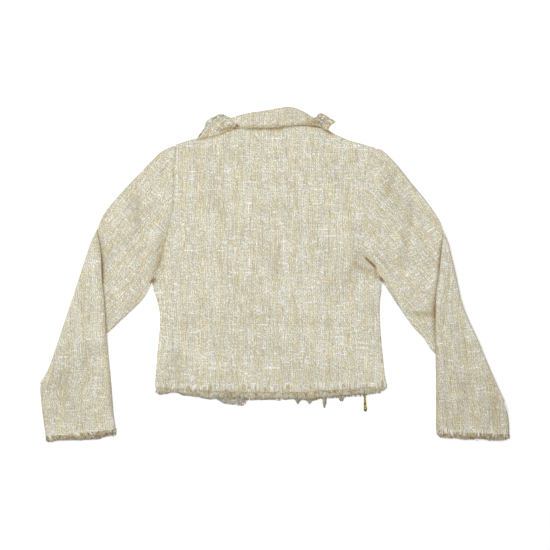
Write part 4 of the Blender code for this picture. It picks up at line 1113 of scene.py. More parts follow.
class Value:
    """What comes out of one of a material's nodes. Its arithmetic makes Math nodes."""

    def __init__(self, shader, socket):
        self.shader, self.socket = shader, socket

    __add__ = math_node("ADD")
    __sub__ = math_node("SUBTRACT")
    __rsub__ = math_node("SUBTRACT", swapped=True)
    __mul__ = math_node("MULTIPLY")
    __truediv__ = math_node("DIVIDE")
    __gt__ = math_node("GREATER_THAN")
    __lt__ = math_node("LESS_THAN")


SHEEN_ROUGH, METAL_SHINE, CLOTH_SHINE = 0.6, 0.5, 0.2


class Shader:
    """A short way to write a material's nodes."""

    def __init__(self, name):
        self.material = bpy.data.materials.new(name)
        self.material.use_nodes = True
        self.tree = self.material.node_tree

    def put(self, socket, value):
        if isinstance(value, Value):
            self.tree.links.new(value.socket, socket)
        else:
            socket.default_value = value

    def add(self, kind, inputs=(), **settings):
        made = self.tree.nodes.new(f"ShaderNode{kind}")
        for key, value in settings.items():
            setattr(made, key, value)
        for key, value in dict(inputs).items():
            self.put(made.inputs[key], value)
        return made

    def node(self, kind, inputs=(), output=0, **settings):
        return Value(self, self.add(kind, inputs, **settings).outputs[output])

    def math(self, operation, *values, clamp=False):
        return self.node("Math", dict(enumerate(values)), operation=operation, use_clamp=clamp)

    def mix(self, share, first, second, blend="MIX", kind="RGBA"):
        made = self.add("Mix", data_type=kind, blend_type=blend)
        for name, value in (("Factor", share), ("A", first), ("B", second)):
            self.put([s for s in made.inputs if s.name == name and s.enabled][0], value)
        return Value(self, [s for s in made.outputs if s.enabled][0])

    def ramp(self, value, stops, interpolation="LINEAR"):
        made = self.add("ValToRGB", {0: value})
        made.color_ramp.interpolation = interpolation
        while len(made.color_ramp.elements) < len(stops):
            made.color_ramp.elements.new(1.0)
        for element, (position, colour) in zip(made.color_ramp.elements, stops):
            element.position = position
            element.color = (*colour, 1.0)
        return Value(self, made.outputs[0])

    def tinted(self, colour, value, stops):
        return self.mix(1.0, colour, self.ramp(value, stops), "MULTIPLY")

    def vector(self, x, y, z=0.0):
        return self.node("CombineXYZ", {0: x, 1: y, 2: z})

    def parts(self, vector):
        return [Value(self, socket) for socket in self.add("SeparateXYZ", {0: vector}).outputs]

    def noise(self, vector, scale, detail=2.0, roughness=0.5):
        inputs = {"Vector": vector, "Scale": scale, "Detail": detail, "Roughness": roughness}
        return self.node("TexNoise", inputs)

    def random(self, x, y=0.0, seed=0.0):
        return self.node("TexWhiteNoise", {"Vector": self.vector(x, y, seed)}, noise_dimensions="3D")

    def finish(self, colour, height, distance, roughness=0.95, sheen=0.0, strength=1.0, metallic=0.0):
        bump = self.node("Bump", {"Height": height, "Distance": distance, "Strength": strength})
        base = self.tree.nodes["Principled BSDF"]
        for name, value in (
            ("Base Color", colour), ("Normal", bump), ("Roughness", roughness), ("Metallic", metallic),
            ("Sheen Weight", sheen), ("Sheen Roughness", SHEEN_ROUGH),
            ("Specular IOR Level", METAL_SHINE if metallic else CLOTH_SHINE),
        ):
            self.put(base.inputs[name], value)
        return self.material


# Linear colours of the yarns
WHITE = (0.83, 0.84, 0.80)
PALE = (0.78, 0.785, 0.71)
CREAM = (0.73, 0.72, 0.60)
SAND = (0.68, 0.65, 0.50)
GOLD = (0.68, 0.59, 0.37)
OCHRE = (0.57, 0.43, 0.21)
TAN = (0.49, 0.425, 0.295)
BROWN = (0.33, 0.26, 0.16)
UMBER = (0.20, 0.155, 0.095)
GREY = (0.60, 0.61, 0.54)
OLIVE = (0.55, 0.55, 0.43)
BLUE_GREY = (0.35, 0.365, 0.355)
WARM_GREY = (0.325, 0.33, 0.295)
SLATE = (0.27, 0.275, 0.255)
WARP_PITCH, WEFT_PITCH = 1.93, 2.05
WARP_UNEVEN, WEFT_UNEVEN = 1.0, 4.0  # how far a yarn strays from its even place
WANDER = 10.0  # how far the warp strays from straight
WOBBLE = (0.0014, 0.0020, 0.0)  # of every yarn's edges across the weft and the warp, in metres
WARP_FLOATS, WEFT_FLOATS = 0.60, 0.918  # levels above which a yarn floats
# Noise along a yarn: how different it is from yarn to yarn, how fast it changes along one, and its seed
DARK_RUN, PALE_RUN = (8.3, 0.05, 21.0), (4.9, 0.045, 33.0)
WARP_RUN, WEFT_RUN = (7.13, 0.03, 1.0), (6.07, 0.04, 91.0)
GOLD_RUN, BROWN_RUN, TAN_RUN = (3.3, 0.06, 61.0), (6.3, 0.04, 51.0), (5.1, 0.11, 71.0)
# Scales of noise over the cut, for each metre
WOBBLE_SCALE, WANDER_SCALE, UNEVEN_SCALE = 110.0, 15.0, 130.0
FIBRE_SCALE, CLOUD_SCALE, WARMTH_SCALE, WARMTH_STRETCH = 2600.0, 19.0, 130.0, (1.9, 0.45)
OWN, CONTRAST = 0.95, 0.75  # of a crossing's own lightness, and of its neighbours' against it
WARP_RUNS, WEFT_RUNS = 0.28, 0.23  # how much lighter and darker whole yarns are for long runs
TURNS = 1.9  # how often light and dark warp yarns change places
STRIPE_WARPS = 17.7  # gold lines come closer together once in so many warp yarns
STRIPE_TINT, STRIPE_YELLOW = 0.54, (1.02, 0.97, 0.70)  # of the warp there
PALE_FROM, PALE_RARER = 0.60, 0.09  # level from which a warp yarn is pale, and more for a dark one
PALE_SHARE = 0.7  # of a pale run's colour that shows
# Levels from which thin lines show: gold, and more far from a stripe, then brown and tan
GOLD_FROM, GOLD_RARER, BROWN_FROM, TAN_FROM = 0.50, 0.09, 0.565, 0.57
GOLD_WIDTH, LINE_WIDTH = 0.33, 0.27  # half widths of the lines, as shares of the pitch
GOLD_DOTS, BROWN_DOTS = 0.38, 0.75  # levels that break a gold line into dots, and a brown one
GOLD_SHARE, BROWN_SHARE, TAN_SHARE = 0.92, 0.80, 0.62  # of their colour that shows
ROUND_LEAST, ROUND_MORE = 0.45, 0.55  # of a yarn's height where it dives under and where it comes up

# Colours of light and dark warp yarns, weft, and thin lines, as stops along a tone from 0 to 1
RIGHT_SIDE = (
    ((0.0, SAND), (0.30, CREAM), (0.65, PALE), (1.0, WHITE)),
    ((0.0, OLIVE), (0.35, GREY), (0.75, SAND), (1.0, CREAM)),
    ((0.0, OLIVE), (0.30, GREY), (0.65, CREAM), (1.0, PALE)),
    ((0.0, GOLD), (0.22, OCHRE), (0.70, TAN), (0.88, BROWN)),
)
WRONG_SIDE = (
    ((0.0, BROWN), (0.35, WARM_GREY), (0.85, WARM_GREY), (1.0, GREY)),
    ((0.0, UMBER), (0.3, SLATE), (0.7, WARM_GREY), (1.0, WARM_GREY)),
    ((0.0, SLATE), (0.5, WARM_GREY), (1.0, WARM_GREY)),
    ((0.0, BLUE_GREY), (0.5, TAN), (0.75, BROWN)),
)
COLLAR_END_SIDE = (
    ((0.0, TAN), (0.35, SAND), (0.65, CREAM), (1.0, WHITE)),
    ((0.0, TAN), (0.3, OCHRE), (0.6, GREY), (1.0, CREAM)),
    ((0.0, TAN), (0.4, OLIVE), (0.7, GREY), (1.0, PALE)),
    ((0.0, OCHRE), (0.5, BROWN), (0.8, SLATE)),
)

# Tints of the weave, as stops along what they depend on
PLAIN = (1.0, 1.0, 1.0)
CROSSING_TINTS = ((0.0, (0.80, 0.785, 0.74)), (0.5, (0.97, 0.965, 0.95)), (1.0, (1.11, 1.11, 1.12)))
# painted shade in the holes between yarns
HOLE_SHADE_TINTS = ((0.0, (0.66, 0.62, 0.52)), (0.45, PLAIN))
FIBRE_TINTS = ((0.3, (0.90, 0.89, 0.87)), (0.7, (1.08, 1.08, 1.08)))
CLOUD_TINTS = ((0.3, (0.935, 0.937, 0.93)), (0.7, (1.045, 1.05, 1.07)))
WARMTH_TINTS = ((0.32, (1.018, 0.988, 0.93)), (0.68, (0.98, 1.003, 1.085)))
# painted shade of steep faces
STEEP_SHADE_TINTS = ((0.0, (0.88, 0.74, 0.52)), (0.60, (0.90, 0.85, 0.76)), (0.91, PLAIN))
# painted shade of folds, creases, seams and outlines, by how much shade each place is marked with
PAINTED_SHADE_TINTS = (
    (0.0, PLAIN), (0.15, (0.905, 0.895, 0.875)), (0.5, (0.67, 0.54, 0.37)), (1.0, (0.22, 0.17, 0.11)),
)


def tweed(name, palettes):
    """Thick tweed: light and dark warp yarns by turns, gold and brown lines, white floats and a soft nap."""
    light_warp, dark_warp, plain_weft, line_colours = palettes
    white, brown_line, tan_line = ((*colour, 1.0) for colour in (light_warp[-1][1], BROWN, TAN))
    s = Shader(name)
    grain = s.node("UVMap", uv_map="grain")
    wobble = s.node("TexNoise", {"Vector": grain, "Scale": WOBBLE_SCALE, "Detail": 2.0}, output="Color")
    shift = s.node("VectorMath", {0: wobble, 1: (0.5, 0.5, 0.5)}, operation="SUBTRACT")
    shift = s.node("VectorMath", {0: shift, 1: WOBBLE}, operation="MULTIPLY")
    u, v, _ = s.parts(s.node("VectorMath", {0: grain, 1: shift}, operation="ADD"))
    # yarns are thicker in some places than in others, and wander from side to side
    loose_u = s.noise(s.vector(u, 0.0, 4.0), UNEVEN_SCALE, 1.0) - 0.5
    loose_v = s.noise(s.vector(0.0, v, 8.0), UNEVEN_SCALE, 1.0) - 0.5
    stray = (s.noise(grain, WANDER_SCALE, 1.0) - 0.5) * (WANDER * MM)
    u, v = u + loose_u * (WARP_UNEVEN * MM) + stray, v + loose_v * (WEFT_UNEVEN * MM)
    x, y = u / (WARP_PITCH * MM), v / (WEFT_PITCH * MM)
    warp, weft = s.math("FLOOR", x), s.math("FLOOR", y)
    in_warp, in_weft = s.math("FRACT", x) - 0.5, s.math("FRACT", y) - 0.5
    warp_own, weft_own = s.random(warp, 0.0, 3.0), s.random(0.0, weft, 5.0)
    # a crossing stands out from its neighbours: it is light where they are dark
    around = s.random(warp + 1.0, weft, 17.0) + s.random(warp, weft + 1.0, 17.0)
    own = s.random(warp, weft, 17.0) * OWN + around * (-CONTRAST / 2)
    own = s.math("ADD", own, 0.5 + (CONTRAST - OWN) / 2, clamp=True)

    def stretch(position, offset, other, length, seed):
        """A random number that stays the same over a stretch of a yarn."""
        return s.random(s.math("FLOOR", (position + offset * 9.0) / length), other, seed)

    def run_of(index, along, run):
        """Smooth noise along a yarn, different for each yarn."""
        spread, rate, seed = run
        return s.noise(s.vector(index * spread, along * rate, seed), 1.0, 1.0)

    def gaps(across):
        """The nearest gap between two yarns, and how far from its middle a place lies."""
        return s.math("FLOOR", across + 0.5), s.math("ABSOLUTE", s.math("FRACT", across + 0.5) - 0.5)

    # which yarn lies on top: a plain weave, with floats of either kind
    warp_float = stretch(weft, warp_own, warp, length=4.0, seed=29.0) > WARP_FLOATS
    weft_float = stretch(warp, weft_own, weft, length=5.0, seed=11.0) > WEFT_FLOATS
    over = s.math("MAXIMUM", s.math("PINGPONG", warp + weft, 1.0), warp_float) * (1.0 - weft_float)

    # each yarn's own colour, changing along it
    stripe = s.math("PINGPONG", warp, STRIPE_WARPS / 2) / (STRIPE_WARPS / 2)
    tone = own * 0.75 + warp_own * 0.25
    second = s.math("PINGPONG", warp, 1.0)
    dark = second + (run_of(warp, y, DARK_RUN) - 0.5) * TURNS > 0.5
    warp_colour = s.mix(dark, s.ramp(tone, light_warp), s.ramp(tone, dark_warp))
    warp_colour = s.mix((1.0 - stripe) * STRIPE_TINT, warp_colour, (*STRIPE_YELLOW, 1.0), "MULTIPLY")
    pale = (run_of(warp, y, PALE_RUN) > second * PALE_RARER + PALE_FROM) * PALE_SHARE
    warp_colour = s.mix(pale, warp_colour, white)
    weft_colour = s.mix(weft_float, s.ramp(own * 0.7 + weft_own * 0.3, plain_weft), white)
    colour = s.mix(s.math("MAXIMUM", over, pale), weft_colour, warp_colour)
    by_warp = (run_of(warp, y, WARP_RUN) - 0.5) * WARP_RUNS
    by_weft = (run_of(weft, x, WEFT_RUN) - 0.5) * WEFT_RUNS
    light = by_warp + by_weft + 1.0
    colour = s.mix(1.0, colour, s.node("CombineColor", {0: light, 1: light, 2: light}), "MULTIPLY")

    # round yarns with holes between them, painted darker as shade falls in the holes
    round_warp, round_weft = 1.0 - in_warp * in_warp * 4.0, 1.0 - in_weft * in_weft * 4.0
    warp_bow = round_warp * (round_weft * ROUND_MORE + ROUND_LEAST)
    weft_bow = round_weft * (round_warp * ROUND_MORE + ROUND_LEAST)
    bow = s.mix(over, weft_bow, warp_bow, kind="FLOAT")
    colour = s.tinted(colour, own, CROSSING_TINTS)
    colour = s.tinted(colour, bow, HOLE_SHADE_TINTS)

    # thin gold and brown lines between some of the warp yarns, in long dotted runs
    gap, from_gap = gaps(x)
    gold = (run_of(gap, y, GOLD_RUN) > stripe * GOLD_RARER + GOLD_FROM) * (from_gap < GOLD_WIDTH)
    gold = gold * (stretch(weft, warp_own, gap, length=2.0, seed=67.0) > GOLD_DOTS) * GOLD_SHARE
    line_tone = stretch(weft, warp_own, gap, length=5.0, seed=47.0)
    colour = s.mix(gold, colour, s.ramp(line_tone, line_colours, "CONSTANT"))
    brown = (run_of(gap, y, BROWN_RUN) > BROWN_FROM) * (from_gap < LINE_WIDTH) * (own < BROWN_DOTS)
    colour = s.mix(brown * BROWN_SHARE, colour, s.mix(s.random(gap), brown_line, tan_line))
    # and shorter tan ones between some of the weft yarns
    gap, from_gap = gaps(y)
    tan = (run_of(gap, x, TAN_RUN) > TAN_FROM) * (from_gap < LINE_WIDTH)
    colour = s.mix(tan * TAN_SHARE, colour, tan_line)

    # fibres and soft patches, some paler and some warmer
    fibre = s.noise(grain, FIBRE_SCALE, 3.0, 0.65)
    colour = s.tinted(colour, fibre, FIBRE_TINTS)
    colour = s.tinted(colour, s.noise(grain, CLOUD_SCALE, 1.0, 0.5), CLOUD_TINTS)
    stretched = s.vector(u * WARMTH_STRETCH[0], v * WARMTH_STRETCH[1], 12.0)
    warmth = s.noise(stretched, WARMTH_SCALE, 2.0, 0.6)
    colour = s.tinted(colour, warmth, WARMTH_TINTS)
    # painted shade: the cloth is darker and greyer where its surface is steep, as where it turns down at its
    # edges
    upright = s.math("ABSOLUTE", s.parts(s.node("NewGeometry", output="Normal"))[2])
    colour = s.tinted(colour, upright, STEEP_SHADE_TINTS)
    # painted shade: the cloth is darker and browner where its mesh marks a place as lying in a fold, under an
    # edge or in a seam
    colour = s.tinted(colour, s.node("Attribute", attribute_name="painted_shade", output="Fac"), PAINTED_SHADE_TINTS)
    return s.finish(colour, bow + fibre * 0.5 + own * 0.4, 0.0010, sheen=0.35, strength=0.7)


def yarn_material(name):
    """Loose yarn: the colour comes from each thread, with its twist and fibres as bump."""
    s = Shader(name)
    own = s.node("Attribute", attribute_name="yarn", output="Color")
    fibre = s.noise(s.node("TexCoord", output="Object"), 1900.0, 3.0, 0.7)
    colour = s.tinted(own, fibre, ((0.3, (0.78, 0.76, 0.72)), (0.72, (1.12, 1.12, 1.12))))
    return s.finish(colour, fibre, 0.0006, sheen=0.4)


def brass_material(name):
    """Aged brass, browner where it is worn least."""
    s = Shader(name)
    where = s.node("TexCoord", output="Object")
    patina = s.noise(where, 260.0, 4.0, 0.6)
    tones = ((0.30, (0.035, 0.028, 0.010)), (0.52, (0.12, 0.095, 0.02)), (0.75, (0.30, 0.245, 0.07)))
    roughness = s.ramp(patina, ((0.3, (0.55,) * 3), (0.7, (0.28,) * 3)))
    scratches = s.noise(where, 1800.0, 2.0)
    return s.finish(s.ramp(patina, tones), scratches, 0.0002, roughness, strength=0.4, metallic=1.0)


def tape_material(name):
    """Herringbone zip tape."""
    s = Shader(name)
    across, along, _ = s.parts(s.node("UVMap", uv_map="grain"))
    zig = s.math("PINGPONG", across / 0.0022, 1.0)
    rib = s.math("FRACT", along / 0.0009 + zig * 1.5)
    height = s.math("PINGPONG", rib * 2.0, 1.0)
    # painted shade: darker where the rib is low
    colour = s.ramp(height, ((0.0, (0.36, 0.32, 0.24)), (0.7, (0.56, 0.51, 0.40))))
    return s.finish(colour, height, 0.0003, roughness=0.8, sheen=0.15)


# ---------------------------------------------------------------- threads

SIDES = 4  # of a thread's cross-section
ROOT_THICKER = 0.4  # how much thicker a thread's root may be than its end, as a share of its thickness
PATCH = 4.8  # width of the patches of threads that share a tone


def threads(name, paths, radii, colours, material, nodes=(), taper=0.35, shade=(1, 1)):
    """Closed tubes along paths, an array of threads by points by xyz, joined into one mesh.

    shade is painted shade along a thread: how light it is at its root and at its end."""
    paths, radii = np.array(paths, float), np.asarray(radii)
    paths[..., 2] = np.maximum(paths[..., 2], radii[:, None])
    count, steps = paths.shape[:2]
    run = unit(np.gradient(paths, axis=1))
    side = unit(np.cross(run, np.array([0.03, 0.05, 1.0])))
    lift = np.cross(side, run)
    angles = np.arange(SIDES) / SIDES * math.tau + math.pi / 4
    thickness = np.ones(steps)
    thickness[-1], thickness[0] = taper, min(1.0, taper + ROOT_THICKER)
    ring = np.cos(angles)[:, None] * side[:, :, None] + np.sin(angles)[:, None] * lift[:, :, None]
    points = paths[:, :, None] + ring * (radii[:, None] * thickness)[:, :, None, None]
    index = np.arange(count * steps * SIDES).reshape(count, steps, SIDES)
    turned = np.roll(index, -1, axis=2)
    walls = np.stack([index[:, :-1], index[:, 1:], turned[:, 1:], turned[:, :-1]], axis=-1).reshape(-1, 4)
    caps = np.concatenate([index[:, 0, :], index[:, -1, ::-1]])
    mesh = mesh_of(name, points.reshape(-1, 3), np.concatenate([walls, caps])[:, ::-1])
    tone = mesh.attributes.new("yarn", "FLOAT_COLOR", "POINT")
    # painted shade, darker towards each thread's end
    lights = shade[0] + (shade[1] - shade[0]) * np.linspace(0, 1, steps) ** 2.5
    colours = np.asarray(colours).reshape(count, -1, 3)
    values = np.repeat(colours * lights[:, None], SIDES, axis=1)
    values = np.concatenate([values, np.ones((count, steps * SIDES, 1))], axis=2)
    tone.data.foreach_set("color", values.astype(np.float32).ravel())
    return add_piece(name, mesh, material, nodes)


def picked(palette, count):
    """A colour for each thread from (share, colour) pairs, each a little lighter or darker."""
    shares = np.array([share for share, _ in palette])
    colours = np.array([colour for _, colour in palette])
    chosen = colours[random.choice(len(palette), count, p=shares / shares.sum())]
    return chosen * random.uniform(0.86, 1.12, (count, 1))


def mottled(palette, paths, pitch=PATCH, own=0.22):
    """Colours along threads, small patches of which share a tone where they lie close together."""
    x, y = paths[..., 0], paths[..., 1]
    column = np.floor(x / pitch + 0.5 * np.sin(y * 0.9) + 0.4 * np.sin(x * 0.31)).astype(int)
    row = np.floor(y / pitch * 1.4 + 0.6 * np.sin(x * 0.57)).astype(int)
    column, row = column - column.min(), row - row.min()
    width = column.max() + 1
    shared = picked(palette, width * (row.max() + 1))[row * width + column]
    alone = picked(palette, len(paths))[:, None]
    return np.where(random.random(len(paths))[:, None, None] < own, alone, shared)


# Tones of the threads: share and colour
SLUB_TONES = ((0.24, WHITE), (0.30, PALE), (0.20, CREAM), (0.14, GOLD), (0.06, OCHRE), (0.06, GREY))
FRINGE_TONES = ((0.32, CREAM), (0.22, SAND), (0.13, GOLD), (0.21, OCHRE), (0.07, BROWN), (0.05, TAN))
CUFF_TONES = ((0.16, CREAM), (0.08, GOLD), (0.30, OCHRE), (0.24, BROWN), (0.10, UMBER), (0.12, TAN))
POINT_TONES = ((0.30, TAN), (0.25, BROWN), (0.20, OCHRE), (0.15, GREY), (0.10, UMBER))
GREY_TONES = ((0.40, WARM_GREY), (0.04, GREY), (0.18, BROWN), (0.18, TAN), (0.20, SLATE))
LOOP_TONES = ((0.30, WHITE), (0.35, PALE), (0.20, CREAM), (0.15, SAND))
CUFF_LOOP_TONES = ((0.18, WHITE), (0.42, PALE), (0.40, CREAM))
BETWEEN_TONES = ((0.40, TAN), (0.30, GOLD), (0.20, OCHRE), (0.10, BROWN))
OUTLINE_TONES = ((0.35, TAN), (0.20, SLATE), (0.35, BROWN), (0.10, BLUE_GREY))
END_TONES = ((0.38, WHITE), (0.20, PALE), (0.20, BLUE_GREY), (0.08, OCHRE), (0.10, SLATE), (0.04, BROWN))
END_RIGHT_TONES = (
    (0.12, WHITE), (0.22, PALE), (0.36, BLUE_GREY), (0.10, OCHRE), (0.16, SLATE), (0.04, BROWN),
)
EDGE_TONES = ((0.30, OCHRE), (0.25, BROWN), (0.20, TAN), (0.15, GREY), (0.10, SLATE))
COLLAR_TONES = ((0.25, CREAM), (0.25, GOLD), (0.15, SAND), (0.20, OCHRE), (0.15, TAN))
ROPE_TONES = ((0.40, OCHRE), (0.25, GOLD), (0.20, TAN), (0.15, BROWN))


def tree_of(piece):
    mesh = piece.data
    mesh.calc_loop_triangles()
    points = [v.co.copy() for v in mesh.vertices]
    return BVHTree.FromPolygons(points, [tuple(t.vertices) for t in mesh.loop_triangles])


LOOK_FROM, LOOK_REACH = 60.0, 0.2  # height from which the cloth is looked for, and how far in metres


def on_top(tree, x, y):
    """Height of the cloth's top at a place, all in the part's millimetres, or None beside it."""
    hit = tree.ray_cast(Vector(in_frame([x, y, LOOK_FROM])), Vector((0, 0, -1)), LOOK_REACH)[0]
    return None if hit is None else hit.z / MM - SHIFT[2]


END_LEVEL = 0.75  # least that an end lies above the surface
LEAN, WAVER, ROUGH = 0.16, (0.8, 1.8), 0.12  # of a thread aside, along itself, and up and down


def hanging(roots, away, lengths, drop_to, bow, steps=6):
    """Paths of thread ends from their roots: out along away, wavering, down to a height."""
    count = len(roots)
    t = np.linspace(0, 1, steps)
    lean = random.normal(0, LEAN, count)[:, None] * t**1.3
    wave = random.normal(0, bow, (count, 1)) * np.sin(t * math.pi * random.uniform(*WAVER, (count, 1)))
    xy = roots[:, None, :2] + away[:, None] * (lengths[:, None] * t)[..., None]
    xy = xy + left_of(away)[:, None] * (lean * lengths[:, None] + wave)[..., None]
    z = roots[:, None, 2] + (drop_to - roots[:, 2])[:, None] * smooth_step(t)
    z = z + random.normal(0, ROUGH, (count, steps))
    return np.dstack([xy, np.maximum(z, END_LEVEL)])


def along_edge(curve, spacing, length, start=0.0, end=1.0):
    """Places along an edge with their direction out of the cloth, to the right as the edge runs."""
    count = int(length * (end - start) / spacing)
    shares = np.linspace(start, end, count) + random.normal(0, 0.25 * spacing / length, count)
    shares = np.clip(shares, start, end)
    return curve(shares), -left_of(heading(curve, shares))


LOCK_PITCH = 7.0
ROOT_INSIDE = 2.5  # how far within the edge a thread of a lock starts


def locked(places, away, lengths, pull):
    """Threads gathered into uneven locks: each thread's shift along the edge at its end, and its length."""
    run = run_along(places)
    lock = np.floor(run / LOCK_PITCH + 0.6 * np.sin(run * 0.21) + 0.35 * np.sin(run * 0.83)).astype(int)
    lock -= lock.min()
    count = np.bincount(lock)
    centre = np.bincount(lock, run) / np.maximum(count, 1)
    lean = random.normal(0, 0.6, len(count))
    shift = (centre[lock] - run) * pull + lean[lock]
    return -left_of(away) * shift[:, None], lengths * (1 + random.normal(0, 0.035, len(count))[lock])


def lock_paths(places, away, level, lengths, drop, pull=0.35):
    """Paths of a fringe's threads."""
    shift, lengths = locked(places, away, lengths, pull)
    roots = np.column_stack([places - away * ROOT_INSIDE, level])
    paths = hanging(roots, away, lengths + ROOT_INSIDE, drop, bow=0.35)
    paths[..., :2] += shift[:, None] * (np.linspace(0, 1, paths.shape[1]) ** 1.2)[:, None]
    return paths


LOOP_SPACING, LOOP_STEPS = 0.62, 7
LOOP_GAP = 0.34  # share of a bundle's width that the darker threads beside it take
LOOP_ROUND = (3.4, 2.4)  # how much shorter a bundle's outer threads are at its upper and lower end
LOOP_DIP = 0.9  # of a thread's ends into the cloth


def edge_loops(
    name, curve, length, level_of, low_of, high_of, pitch=5.6, share=0.74, tones=LOOP_TONES, lean=0.0
):
    """Pale bundles of yarn laid over a cut edge, thick and thin by turns, with darker threads between that
    also paint the shade between the bundles.
    """
    places, away = along_edge(curve, LOOP_SPACING, length, 0.004, 0.996)
    run = run_along(places)
    phase = run / pitch + 0.5 * np.sin(run * 0.17) + 0.3 * np.sin(run * 0.61)
    bundle = np.floor(phase).astype(int)
    there = (random.random(bundle.max() + 1) < share)[bundle]
    places, away, phase, bundle = places[there], away[there], phase[there], bundle[there]
    count = len(places)
    inside = 1 - np.abs(2 * (phase - bundle) - 1)
    between = inside < LOOP_GAP
    t = np.linspace(0, 1, LOOP_STEPS)
    wander = random.normal(0, 2.0, (2, bundle.max() + 1))[:, bundle] + random.normal(0, 0.8, (2, count))
    wander[0] += (1 - inside) * LOOP_ROUND[0]
    wander[1] -= (1 - inside) * LOOP_ROUND[1]
    low, high = low_of(places) + wander[0], high_of(places) + wander[1]
    slant = random.normal(lean, 1.9, bundle.max() + 1)[bundle] + random.normal(0, 0.3, count)
    along = low[:, None] + (high - low)[:, None] * t
    xy = places[:, None] + away[:, None] * along[..., None]
    xy = xy + left_of(away)[:, None] * (slant[:, None] * (t - 0.5))[..., None]
    rise = np.where(between, 0.1, 0.25 + 0.75 * inside)[:, None]
    z = level_of(xy) + rise * np.sin(math.pi * t) + 0.15
    z[:, [0, -1]] -= LOOP_DIP
    colours = np.where(between[:, None], picked(BETWEEN_TONES, count), picked(tones, count))
    radii = np.where(between, 0.38, random.uniform(0.4, 0.62, count))
    return threads(name, np.dstack([xy, z]), radii, colours, yarn, taper=0.6, shade=(1.0, 0.86))


COUCHED_STEPS = 14


def couched(
    name, curve, length, level_of, offset_of, count, low, high, spread, tones, pitch=PATCH, last=0.99,
    thickness=(0.38, 0.72),
):
    """Loose warp ends turned back along an edge, each lying along it for a stretch in waves."""
    spans = random.uniform(low, high, count) / length
    first = random.uniform(0.01, last - spans)
    shares = first[:, None] + spans[:, None] * np.linspace(0, 1, COUCHED_STEPS)
    waves = random.uniform(0.25, 0.6, (count, 1)) * shares * length + random.uniform(0, math.tau, (count, 1))
    middle = curve(shares)
    offset = offset_of(middle) + random.normal(0, spread, (count, 1)) + 0.7 * np.sin(waves)
    xy = middle - left_of(heading(curve, shares)) * offset[..., None]
    z = level_of(xy) + random.uniform(0.2, 1.0, (count, 1)) + 0.2 * np.sin(waves * 1.7)
    radii = random.uniform(*thickness, count)
    paths = np.dstack([xy, z])
    return threads(name, paths, radii, mottled(tones, paths, pitch), yarn, taper=0.5)


def past_edge(table, less):
    """Offset of couched yarns: how far the ends hang past the edge at each x, less a distance."""
    return lambda at: along_table(at[..., 0], table) - less


def below(table, more=0.0):
    """Offset down to a line from each place above it, and some more."""
    return lambda at: at[..., 1] - along_table(at[..., 0], table) + more


def even(offset):
    """The same offset all along an edge."""
    return lambda at: np.full(at.shape[:-1], offset)


FALL_OFF, ENDS_FALL_OFF = 0.22, 0.30  # of a level past the cloth's edge, for each millimetre
NO_CLOTH = 4.0  # level where no cloth is near


def past_hem(fall):
    """Top of the back, and past its hem a level that falls off by so much for each millimetre."""

    def level(at):
        past = along_table(at[..., 0], HEM_BACK) - at[..., 1]
        return loft_at(at) + CLOTH - fall * np.maximum(past, 0)

    return level


def over_tree(tree, reach=16.0):
    """Top of the cloth, and past its lower edge a level that falls off from it."""

    def level(at):
        found = []
        for x, y in at.reshape(-1, 2):
            for past in np.arange(0, reach, 1.0):
                height = on_top(tree, x, y + past)
                if height is not None:
                    break
            found.append((height if height is not None else NO_CLOTH) - FALL_OFF * past)
        return np.array(found).reshape(at.shape[:-1])

    return level


# ---------------------------------------------------------------- the jacket

cloth = tweed("tweed", RIGHT_SIDE)
wrong_side = tweed("tweed_wrong_side", WRONG_SIDE)
end_side = tweed("tweed_collar_ends", COLLAR_END_SIDE)
yarn = yarn_material("fringe_yarn")
brass = brass_material("brass")
tape = tape_material("zip_tape")

back, back_top_points = make_back(cloth)
fronts, front_hems = make_fronts(cloth, wrong_side)
sleeves = {side: make_sleeve(side, cloth) for side in ("left", "right")}
collar = make_collar(cloth)
collar_ends = make_collar_ends(end_side)

# ---- frayed hems: locks of loose ends, couched yarns over their roots and a row of pale loops above

# How far the back's fringe hangs past its hem
FRINGE_DROP = (
    (-219, 6.0), (-214, 13.0), (-204, 10.5), (-190, 7.0), (-178, 6.6), (-170, 11), (-144, 12), (-128, 14.5),
    (-118, 15.5), (-108, 13), (-54, 13.5), (-50, 14.5), (-44, 14.5), (-40, 13.5), (33, 13.5), (49, 15.0),
    (73, 16), (86, 13), (118, 11.0), (128, 11.5), (136, 12.5), (146, 11.0), (157, 11.5), (189, 12.5),
    (200, 8.0), (206, 5),
)
PUFF_TOP = ((-219, -200), (-110, -200), (0, -199.5), (110, -198), (170, -195), (206, -192))
PUFF_LOW = ((-219, -214), (-180, -213), (-110, -214.5), (0, -215.5), (110, -213), (170, -210), (206, -206.5))
FRINGE_RADII = (0.34, 0.66)
HEM_SPACING, FRONT_SPACING, CUFF_SPACING = 0.42, 0.6, 0.45  # between the roots of the ends
FRINGE_LOW, FRINGE_HIGH = 2.0, 3.6  # levels of the ends
OVER_SLIDER, SLIDER_HALF = 5.4, 9  # level of those over the zip's slider, and half of their width


def hem_of_back():
    places, away = along_edge(back_hem, HEM_SPACING, BACK_WIDTH, 0.003, 0.997)
    x, count = places[:, 0], len(places)
    level = loft_at(places) + random.uniform(-0.6, 1.2, count)
    lengths = along_table(x, FRINGE_DROP) + random.normal(0, 0.5, count)
    low_end = random.uniform(FRINGE_LOW, FRINGE_HIGH, count)
    drop = np.where(np.abs(x - PIN_PLACE[0]) < SLIDER_HALF, OVER_SLIDER, low_end)
    paths = lock_paths(places, away, level, lengths, drop)
    radii = random.uniform(*FRINGE_RADII, count)
    tones = mottled(FRINGE_TONES, paths)
    return threads("hem_back_ends", paths, radii, tones, yarn, nodes=["fringe_hem_back"], shade=(1.0, 0.55))


